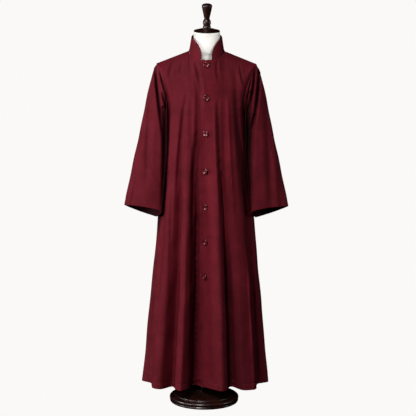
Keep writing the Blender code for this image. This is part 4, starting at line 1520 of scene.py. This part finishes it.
def cutting_line(profile: Sequence[Turn], fine: int) -> Grid:
    """The line that a profile's points stand for, with curves between its corners.

    Args:
        profile: the points.
        fine: points of the line between two points of a curve.

    Returns:
        The radius and height of each point of the line.
    """
    runs, run = [], [profile[0]]
    for point in profile[1:]:
        run.append(point)
        if point.corner:
            runs.append(run)
            run = [point]
    if len(run) > 1:
        runs.append(run)
    line = [np.array([profile[0][:2]])]
    for run in runs:
        rows = np.array([p[:2] for p in run], float)
        reach = np.concatenate([[0.0], np.cumsum(np.linalg.norm(np.diff(rows, axis=0), axis=1))])
        if len(rows) == 2:
            line.append(rows[1:])
            continue
        at = np.concatenate([np.linspace(a, b, fine + 1)[1:] for a, b in zip(reach, reach[1:])])
        line.append(smooth_rows(reach, rows, at))
    return np.vstack(line)


def put_away_tools() -> None:
    """Leave edit mode and deselect everything."""
    if bpy.context.mode != "OBJECT":
        bpy.ops.object.mode_set(mode="OBJECT")
    bpy.ops.object.select_all(action="DESELECT")


def settle(piece: bpy.types.Object, material: bpy.types.Material) -> None:
    """Give a piece its material and smooth shading, and put its place into its mesh.

    Args:
        piece: the piece.
        material: its finish.
    """
    put_away_tools()
    piece.data.materials.clear()
    piece.data.materials.append(material)
    piece.select_set(True)
    bpy.context.view_layer.objects.active = piece
    bpy.ops.object.transform_apply(location=True, rotation=True, scale=True)
    bpy.ops.object.shade_smooth_by_angle(angle=math.radians(CORNER_DEGREES))
    piece.select_set(False)


# Steps of the cutting line between two points of a curve, and how close vertices are when they are one.
CURVE_STEPS = 4
WELD = 1e-6


def turn_on_lathe(
    name: str, profile: Sequence[Turn], segments: int, material: bpy.types.Material, lift: float = 0.0
) -> bpy.types.Object:
    """Turn a closed solid from a profile that starts and ends on its axis.

    Args:
        name: the piece's name.
        profile: the profile from the top of the axis to its bottom.
        segments: steps round the axis.
        material: its finish.
        lift: the height of the profile's zero.

    Returns:
        The turned piece.
    """
    put_away_tools()
    line = cutting_line(profile, CURVE_STEPS)
    bpy.ops.mesh.primitive_plane_add(size=0.01, location=(0.0, 0.0, 0.0))
    piece = bpy.context.object
    piece.name = piece.data.name = name
    bpy.ops.object.mode_set(mode="EDIT")
    bpy.ops.mesh.select_all(action="SELECT")
    bpy.ops.mesh.merge(type="CENTER")
    bpy.ops.transform.translate(value=(line[0, 0], 0.0, line[0, 1] + lift))
    for out, up in np.diff(line, axis=0).tolist():
        bpy.ops.mesh.extrude_vertices_move(TRANSFORM_OT_translate={"value": (out, 0.0, up)})
    bpy.ops.mesh.select_all(action="SELECT")
    bpy.ops.mesh.spin(steps=segments, angle=math.tau, center=(0.0, 0.0, 0.0), axis=(0.0, 0.0, 1.0))
    bpy.ops.mesh.select_all(action="SELECT")
    bpy.ops.mesh.remove_doubles(threshold=WELD)
    bpy.ops.mesh.normals_make_consistent(inside=False)
    settle(piece, material)
    return piece


@dataclass
class Stand:
    """The turned wooden base, pole, neck cap and finial."""

    wood: bpy.types.Material
    segments: int = 96
    pole_segments: int = 48
    finial_segments: int = 64
    gap: float = 0.0003
    pole_radius: float = 0.0175
    pole_top: float = 0.8197
    pole_bevel: float = 0.0008
    neck_top: float = 1.6545
    base: Sequence[Turn] = (
        Turn(0.0, 0.0560), Turn(0.0300, 0.0560, True), Turn(0.0342, 0.0551), Turn(0.0363, 0.0532),
        Turn(0.0366, 0.0506), Turn(0.0354, 0.0482), Turn(0.0340, 0.0470, True), Turn(0.0600, 0.0446),
        Turn(0.1000, 0.0401), Turn(0.1232, 0.0366, True), Turn(0.1278, 0.0356), Turn(0.1305, 0.0332),
        Turn(0.1312, 0.0296, True), Turn(0.1335, 0.0289, True), Turn(0.1410, 0.0284), Turn(0.1480, 0.0262),
        Turn(0.1518, 0.0220), Turn(0.1525, 0.0165), Turn(0.1508, 0.0118, True), Turn(0.1496, 0.0098, True),
        Turn(0.1511, 0.0072), Turn(0.1507, 0.0040), Turn(0.1488, 0.0006), Turn(0.1475, 0.0, True),
        Turn(0.0, 0.0),
    )
    cap: Sequence[Turn] = (
        Turn(0.0, 0.0118), Turn(0.0190, 0.0112, True), Turn(0.0260, 0.0107), Turn(0.0335, 0.0099, True),
        Turn(0.0352, 0.0094), Turn(0.0362, 0.0084, True), Turn(0.0420, 0.0072), Turn(0.0500, 0.0051),
        Turn(0.0552, 0.0035), Turn(0.0567, 0.0020), Turn(0.0562, 0.0006), Turn(0.0545, 0.0, True),
        Turn(0.0, 0.0),
    )
    finial: Sequence[Turn] = (
        Turn(0.0, 0.1090), Turn(0.0060, 0.1088), Turn(0.0130, 0.1076), Turn(0.0195, 0.1045),
        Turn(0.0223, 0.1005), Turn(0.0222, 0.0955), Turn(0.0198, 0.0820), Turn(0.0166, 0.0670),
        Turn(0.0134, 0.0520), Turn(0.0117, 0.0440), Turn(0.0116, 0.0410, True), Turn(0.0138, 0.0388),
        Turn(0.0162, 0.0330), Turn(0.0175, 0.0268), Turn(0.0170, 0.0205), Turn(0.0154, 0.0158),
        Turn(0.0149, 0.0128, True), Turn(0.0163, 0.0108), Turn(0.0171, 0.0072), Turn(0.0171, 0.0034),
        Turn(0.0165, 0.0, True), Turn(0.0, 0.0),
    )

    def build(self) -> list[tuple[bpy.types.Object, str]]:
        """Turn the four pieces.

        Returns:
            Each piece with the node it stands for.
        """
        cap_bottom = self.neck_top + self.gap
        finial_bottom = cap_bottom + self.cap[0].height + self.gap
        pole_bottom = self.base[0].height + self.gap
        radius, top, bevel = self.pole_radius, self.pole_top, self.pole_bevel
        pole = (
            Turn(0.0, top), Turn(radius - bevel, top, True), Turn(radius, top - bevel, True),
            Turn(radius, pole_bottom, True), Turn(0.0, pole_bottom),
        )
        return [
            (turn_on_lathe("wood_base", self.base, self.segments, self.wood), "base"),
            (turn_on_lathe("wood_pole", pole, self.pole_segments, self.wood), "pole"),
            (turn_on_lathe("wood_cap", self.cap, self.segments, self.wood, cap_bottom), "neck_cap"),
            (
                turn_on_lathe("wood_finial", self.finial, self.finial_segments, self.wood, finial_bottom),
                "finial",
            ),
        ]


# ================================================================ buttons
@dataclass
class Buttons:
    """Four-hole buttons with a raised rim, sewn on flat, each turned a little more than the one above."""

    resin: bpy.types.Material
    thread: bpy.types.Material
    heights: Sequence[float] = (1.5250, 1.3860, 1.2300, 1.0640, 0.9040, 0.7470, 0.5900)
    lift: float = 0.0012
    turned: float = 0.06
    painted_shadow_from: float = 0.0112
    painted_shadow_stretch: float = 0.0016
    hole_radius: float = 0.0011
    hole_spread: float = 0.0021
    hole_sides: int = 16
    drill_length: float = 0.01
    bar_height: float = 0.0021
    bar_girth: float = 0.8
    bar_shape: tuple[float, float, float] = (3.1, 1.0, 0.75)
    segments: int = 48
    profile: Sequence[Turn] = (
        Turn(0.0, 0.0022), Turn(0.0046, 0.0023), Turn(0.0074, 0.0028), Turn(0.0092, 0.0041),
        Turn(0.0107, 0.0048), Turn(0.0120, 0.0046), Turn(0.0131, 0.0038), Turn(0.0136, 0.0026),
        Turn(0.0130, 0.0013), Turn(0.0114, 0.0004), Turn(0.0098, 0.0, True), Turn(0.0, 0.0),
    )

    def model(self) -> bpy.types.Object:
        """Turn, drill and thread one button.

        Returns:
            The button, facing up at the origin, with its painted edge shadow as the point attribute "rim".
        """
        button = turn_on_lathe("button_pattern", self.profile, self.segments, self.resin)
        for x, y in self.holes():
            self.drill(button, x, y)
        bars = [self.bar(y) for y in (-self.hole_spread, self.hole_spread)]
        put_away_tools()
        for piece in (*bars, button):
            piece.select_set(True)
        bpy.context.view_layer.objects.active = button
        bpy.ops.object.join()
        bpy.ops.object.shade_smooth_by_angle(angle=math.radians(CORNER_DEGREES))
        places = np.array([vertex.co for vertex in button.data.vertices])
        # The painted shadow round the edge: none inside the first radius, full a stretch further out.
        rim = eased((np.linalg.norm(places[:, :2], axis=1) - self.painted_shadow_from) / self.painted_shadow_stretch)
        button.data.attributes.new("rim", "FLOAT", "POINT").data.foreach_set("value", rim.astype(np.float32))
        put_away_tools()
        return button

    def holes(self) -> list[tuple[float, float]]:
        """The middles of the four holes."""
        return [(x * self.hole_spread, y * self.hole_spread) for x in (-1, 1) for y in (-1, 1)]

    def drill(self, button: bpy.types.Object, x: float, y: float) -> None:
        """Drill one hole.

        Args:
            button: the button.
            x: the hole's place.
            y: the hole's place.
        """
        put_away_tools()
        bpy.ops.mesh.primitive_cylinder_add(
            vertices=self.hole_sides, radius=self.hole_radius, depth=self.drill_length, location=(x, y, 0.0)
        )
        drill = bpy.context.object
        put_away_tools()
        bpy.context.view_layer.objects.active = button
        cut = button.modifiers.new("hole", "BOOLEAN")
        cut.object = drill
        cut.solver = "EXACT"
        bpy.ops.object.modifier_apply(modifier=cut.name)
        bpy.data.objects.remove(drill)

    def bar(self, y: float) -> bpy.types.Object:
        """Lay the threads between two holes, as one rounded bar.

        Args:
            y: the bar's place.

        Returns:
            The bar.
        """
        put_away_tools()
        girth = self.hole_radius * self.bar_girth
        bpy.ops.mesh.primitive_uv_sphere_add(
            segments=16, ring_count=10, radius=girth, location=(0.0, y, self.bar_height)
        )
        bar = bpy.context.object
        bpy.ops.object.mode_set(mode="EDIT")
        bpy.ops.mesh.select_all(action="SELECT")
        bpy.ops.transform.resize(value=self.bar_shape)
        settle(bar, self.thread)
        return bar

    def build(self, body: Body) -> list[bpy.types.Object]:
        """Copy the button down the centre front, each square to the cloth under it.

        Args:
            body: the body that they are sewn to.

        Returns:
            The buttons, from the top one down.
        """
        pattern = self.model()
        middle = body.column_of(0.0)
        line = body.sheet.points[::-1, middle]
        facing = body.sheet.normals()[::-1, middle]
        made = []
        for number, height in enumerate(self.heights, 1):
            place = Vector(smooth_rows(line[:, 2], line, height)[0])
            up = Vector(smooth_rows(line[:, 2], facing, height)[0]).normalized()
            square = up.to_track_quat("Z", "Y").to_matrix().to_4x4()
            turn = square @ Matrix.Rotation(self.turned * number, 4, "Z")
            button = bpy.data.objects.new(f"resin_button_{number}", pattern.data.copy())
            button.data.transform(Matrix.Translation(place + up * self.lift) @ turn)
            bpy.context.scene.collection.objects.link(button)
            made.append(button)
        bpy.data.objects.remove(pattern)
        return made


# ================================================================ the dress form
class Girth(NamedTuple):
    """An oval of the form; the higher its taper, the sharper its two side ends."""

    height: float
    half_width: float
    front: float
    back: float
    taper: float


@dataclass
class DressForm:
    """A limbless form: wadding under a tightly stretched jersey cover, with a welt below the cap."""

    body: Body
    cover: bpy.types.Material
    segments: int = 120
    rows: int = 150
    cloth_and_air: float = 0.0026
    shoulder_end: float = 0.186
    shoulder_depth: float = 0.036
    neck_base_depth: float = 0.044
    shoulder_taper: float = 2.4
    neck_radius: float = 0.0566
    neck_top: float = 1.6545
    neck_start: float = 1.6200
    welt_height: float = 1.6462
    welt_proud: float = 0.0007
    welt_width: float = 0.0011
    rim_radius: float = 0.0014
    rim_reach: float = 0.012
    rim_rows: int = 16
    shoulder_rows: int = 5
    shoulder_slack: float = 1.1
    shoulder_under_neck: float = 0.013
    corner_degrees: float = 50.0
    torso: Sequence[Girth] = (
        Girth(0.8200, 0.140, 0.070, 0.096, 1.0),
        Girth(0.8300, 0.148, 0.077, 0.103, 1.0),
        Girth(0.9000, 0.154, 0.083, 0.109, 1.0),
        Girth(0.9800, 0.146, 0.086, 0.102, 1.0),
        Girth(1.1000, 0.124, 0.082, 0.086, 1.0),
        Girth(1.2000, 0.134, 0.096, 0.090, 1.0),
        Girth(1.3000, 0.148, 0.108, 0.096, 1.0),
        Girth(1.3800, 0.154, 0.102, 0.094, 1.1),
        Girth(1.4400, 0.164, 0.086, 0.082, 1.3),
        Girth(1.4850, 0.178, 0.068, 0.064, 1.6),
    )
    neck_root: Sequence[Girth] = (
        Girth(-0.006, 0.017, -0.008, -0.006, 1.6),
        Girth(0.004, 0.006, -0.002, -0.003, 1.1),
        Girth(0.022, 0.001, 0.000, -0.001, 1.0),
    )

    def girths(self) -> list[Girth]:
        """The form's ovals, with the shoulders cut to the garment's seam.

        Returns:
            The ovals, from its hips to the top of its neck.
        """
        neck_side, neck_half = self.body.neck_side, self.body.neck_half_width
        slope = (neck_side - self.body.shoulder_tip[2]) / (self.body.shoulder_tip[0] - neck_half)
        under_cloth = self.cloth_and_air / math.cos(math.atan(slope))
        girths = list(self.torso)
        low = neck_side - (self.shoulder_end - neck_half) * slope - self.cloth_and_air * self.shoulder_slack
        high = neck_side - self.shoulder_under_neck
        for share in np.linspace(0, 1, self.shoulder_rows):
            height = low + (high - low) * share
            reach = neck_half + (neck_side - under_cloth - height) / slope
            deep = self.shoulder_depth + (self.neck_base_depth - self.shoulder_depth) * share
            girths.append(Girth(height, reach, deep, deep, self.shoulder_taper))
        neck = self.neck_radius
        for over, wider, front, back, taper in self.neck_root:
            girths.append(Girth(neck_side + over, neck + wider, neck + front, neck + back, taper))
        return [*girths, *(Girth(height, neck, neck, neck, 1.0) for height in (self.neck_start, self.neck_top))]

    def build(self) -> bpy.types.Object:
        """Loft the form, with its welt and its rounded rim, and close its two ends.

        Returns:
            The form.
        """
        table = np.array(self.girths())
        low, high = table[0, 0], table[-1, 0]
        even = np.linspace(low, high - self.rim_reach, self.rows)
        heights = np.concatenate([even, np.linspace(high - self.rim_reach, high, self.rim_rows)[1:]])
        bearing = -np.linspace(0, math.tau, self.segments, endpoint=False)
        vertices = []
        for height in heights:
            half_width, front, back, taper = (np.interp(height, table[:, 0], table[:, k]) for k in (1, 2, 3, 4))
            welt = self.welt_proud * bell(height - self.welt_height, self.welt_width)
            rim = self.rim_radius * max(0.0, 1 - (high - height) / self.rim_radius) ** 2
            grow = (self.neck_radius + welt - rim) / self.neck_radius
            plan = oval(half_width, front, back, bearing, taper) * grow
            vertices.extend((x, y, height) for x, y in plan.tolist())
        n, top = self.segments, (len(heights) - 1) * self.segments
        faces = [
            (r + i, r + (i + 1) % n, r + n + (i + 1) % n, r + n + i) for r in range(0, top, n) for i in range(n)
        ]
        faces += [tuple(range(n))[::-1], tuple(range(top, top + n))]
        piece = new_piece("jersey_form", vertices, faces, self.cover)
        shape = bmesh.new()
        shape.from_mesh(piece.data)
        bmesh.ops.recalc_face_normals(shape, faces=shape.faces)
        shape.to_mesh(piece.data)
        shape.free()
        piece.data.set_sharp_from_angle(angle=math.radians(self.corner_degrees))
        return piece


# ================================================================ the studio
class Lamp(NamedTuple):
    """A square soft light: where it stands, the height it looks at, its width and its power."""

    x: float
    y: float
    z: float
    aim: float
    width: float
    watts: float


@dataclass
class Studio:
    """A pale floor, soft lights and the camera."""

    paper: bpy.types.Material
    floor_half: float = 60.0
    distance: float = 12.0
    camera_height: float = 3.66
    focal_pixels: float = 2821.8
    picture_pixels: float = 416.0
    sensor_mm: float = 36.0
    pitch: float = 0.2281
    roll_degrees: float = 0.43
    shift_pixels: float = 2.5
    lamps: Sequence[Lamp] = (
        Lamp(-6.4, -1.13, 1.9, 1.0, 1.8, 185.0),
        Lamp(-5.0, -4.15, 1.9, 1.0, 1.8, 95.0),
        Lamp(-1.54, -4.23, 5.0, 1.0, 1.8, 235.0),
        Lamp(6.4, -1.13, 1.9, 1.0, 1.8, 45.0),
    )
    back_lamp: Lamp = Lamp(0.8, 5.5, 3.5, 1.2, 2.5, 60.0)
    neck_lamp: Lamp = Lamp(2.2, -5.0, 2.6, 1.62, 1.0, 150.0)
    air: str = "#FAF9F7"
    floor_height: float = -0.0005
    sight: float = 200.0

    def build(self, form: bpy.types.Object) -> None:
        """Lay the floor, hang the lights and set up the camera.

        The lamp behind gives no highlights, and the neck's lamp lights the form alone.

        Args:
            form: the dress form.
        """
        scene = bpy.context.scene
        put_away_tools()
        bpy.ops.mesh.primitive_plane_add(size=self.floor_half * 2, location=(0.0, 0.0, self.floor_height))
        floor = bpy.context.object
        floor.name = "studio_floor"
        settle(floor, self.paper)
        floor.visible_diffuse = False
        floor.visible_glossy = False
        floor.visible_shadow = False
        for number, lamp in enumerate(self.lamps, 1):
            self.hang(f"softbox_{number}", lamp)
        self.hang("back_softbox", self.back_lamp).visible_glossy = False
        only = bpy.data.collections.new("lit_by_neck_lamp")
        only.objects.link(form)
        self.hang("neck_softbox", self.neck_lamp).light_linking.receiver_collection = only
        world = bpy.data.worlds.new("studio_air")
        world.use_nodes = True
        air = world.node_tree.nodes["Background"]
        air.inputs["Color"].default_value = linear(self.air)
        air.inputs["Strength"].default_value = 1.0
        scene.world = world
        world.cycles_visibility.diffuse = False
        world.cycles_visibility.glossy = False
        scene.view_settings.view_transform = "Standard"
        self.camera(scene)

    def hang(self, name: str, lamp: Lamp) -> bpy.types.Object:
        """Hang one light and turn it to the axis of the form.

        Args:
            name: the light's name.
            lamp: where it stands, its width and its power.

        Returns:
            The light.
        """
        light = bpy.data.lights.new(name, "AREA")
        light.size = lamp.width
        light.energy = lamp.watts
        holder = bpy.data.objects.new(name, light)
        holder.location = (lamp.x, lamp.y, lamp.z)
        aim = Vector((0.0, 0.0, lamp.aim)) - holder.location
        holder.rotation_euler = aim.to_track_quat("-Z", "Y").to_euler()
        bpy.context.scene.collection.objects.link(holder)
        return holder

    def camera(self, scene: bpy.types.Scene) -> None:
        """Set up the camera, a long lens above the garment, looking a little down.

        Args:
            scene: the scene that it is set up in.
        """
        lens = bpy.data.cameras.new("camera")
        lens.sensor_width = self.sensor_mm
        lens.lens = self.focal_pixels / self.picture_pixels * self.sensor_mm
        lens.shift_x = self.shift_pixels / self.picture_pixels
        lens.clip_end = self.sight
        camera = bpy.data.objects.new("camera", lens)
        tilt = Matrix.Rotation(math.pi / 2 - self.pitch, 4, "X")
        roll = Matrix.Rotation(math.radians(self.roll_degrees), 4, "Z")
        camera.matrix_world = Matrix.Translation((0.0, -self.distance, self.camera_height)) @ tilt @ roll
        scene.collection.objects.link(camera)
        scene.camera = camera


# ================================================================ the whole
def carry(piece: bpy.types.Object, slot: str, *nodes: str) -> None:
    """Tie a piece to the frame, hide the imported parts that it stands for, and report its faces.

    Args:
        piece: the piece.
        slot: its finish; it is not used.
        nodes: the nodes that it replaces.
    """
    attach(piece, "root")
    if nodes:
        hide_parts(*nodes)
    LOG.info("%s: %d faces", piece.name, len(piece.data.polygons))


class Panel(NamedTuple):
    """A panel to sew: its cloth, the part of the garment it is cut for, its flat size and its area."""

    sheet: Sheet
    cut_for: Body | Sleeve | Collar
    flat: tuple[float, float]
    area: float


def main() -> None:
    """Build every piece in order."""
    logging.basicConfig(level=logging.INFO, format="%(message)s")
    cloth = Gabardine().make("worsted_gabardine")
    thread = Thread().make("sewing_thread")
    needle = Needle(thread)
    body = Body()
    left = Sleeve(Side.LEFT, swing=0.005, creases=LEFT_SLEEVE_FRONT, back_creases=LEFT_SLEEVE_BACK)
    right = Sleeve(Side.RIGHT, swing=-0.002, creases=RIGHT_SLEEVE_FRONT, back_creases=RIGHT_SLEEVE_BACK)
    collar = Collar(body)
    panels = {
        "front_left": Panel(body.front_left(), body, (0.52, 1.52), 0.57),
        "front_right": Panel(body.front_right(), body, (0.52, 1.52), 0.55),
        "back": Panel(body.back(), body, (0.84, 1.52), 0.90),
        "sleeve_left": Panel(left.sheet(), left, (0.48, 0.64), 0.24),
        "sleeve_right": Panel(right.sheet(), right, (0.48, 0.64), 0.24),
        "collar": Panel(collar.sheet(), collar, (0.44, 0.075), 0.025),
    }
    form = DressForm(body, CottonJersey().make("cotton_jersey")).build()
    carry(form, "cream_cotton", "form")
    for name, (sheet, cut_for, flat, area) in panels.items():
        piece = sew_shell(f"{name}_cloth", sheet, cut_for.thickness(sheet), cloth)
        carry(piece, "burgundy_gabardine", name)
        lines = cut_for.seams(sheet)
        if name == "front_left":
            lines.append(body.placket_seam(sheet))
        stitches = needle.sew(f"{name}_stitches", lines)
        carry(stitches, "burgundy_gabardine")
    buttons = Buttons(ResinButton().make("cast_resin"), thread).build(body)
    for number, button in enumerate(buttons, 1):
        carry(button, "burgundy_button", f"button_{number}")
    for piece, node in Stand(StainedWalnut().make("stained_walnut")).build():
        carry(piece, "dark_walnut", node)
    Studio(StudioPaper().make("studio_paper")).build(form)


if __name__ == "__main__":
    main()
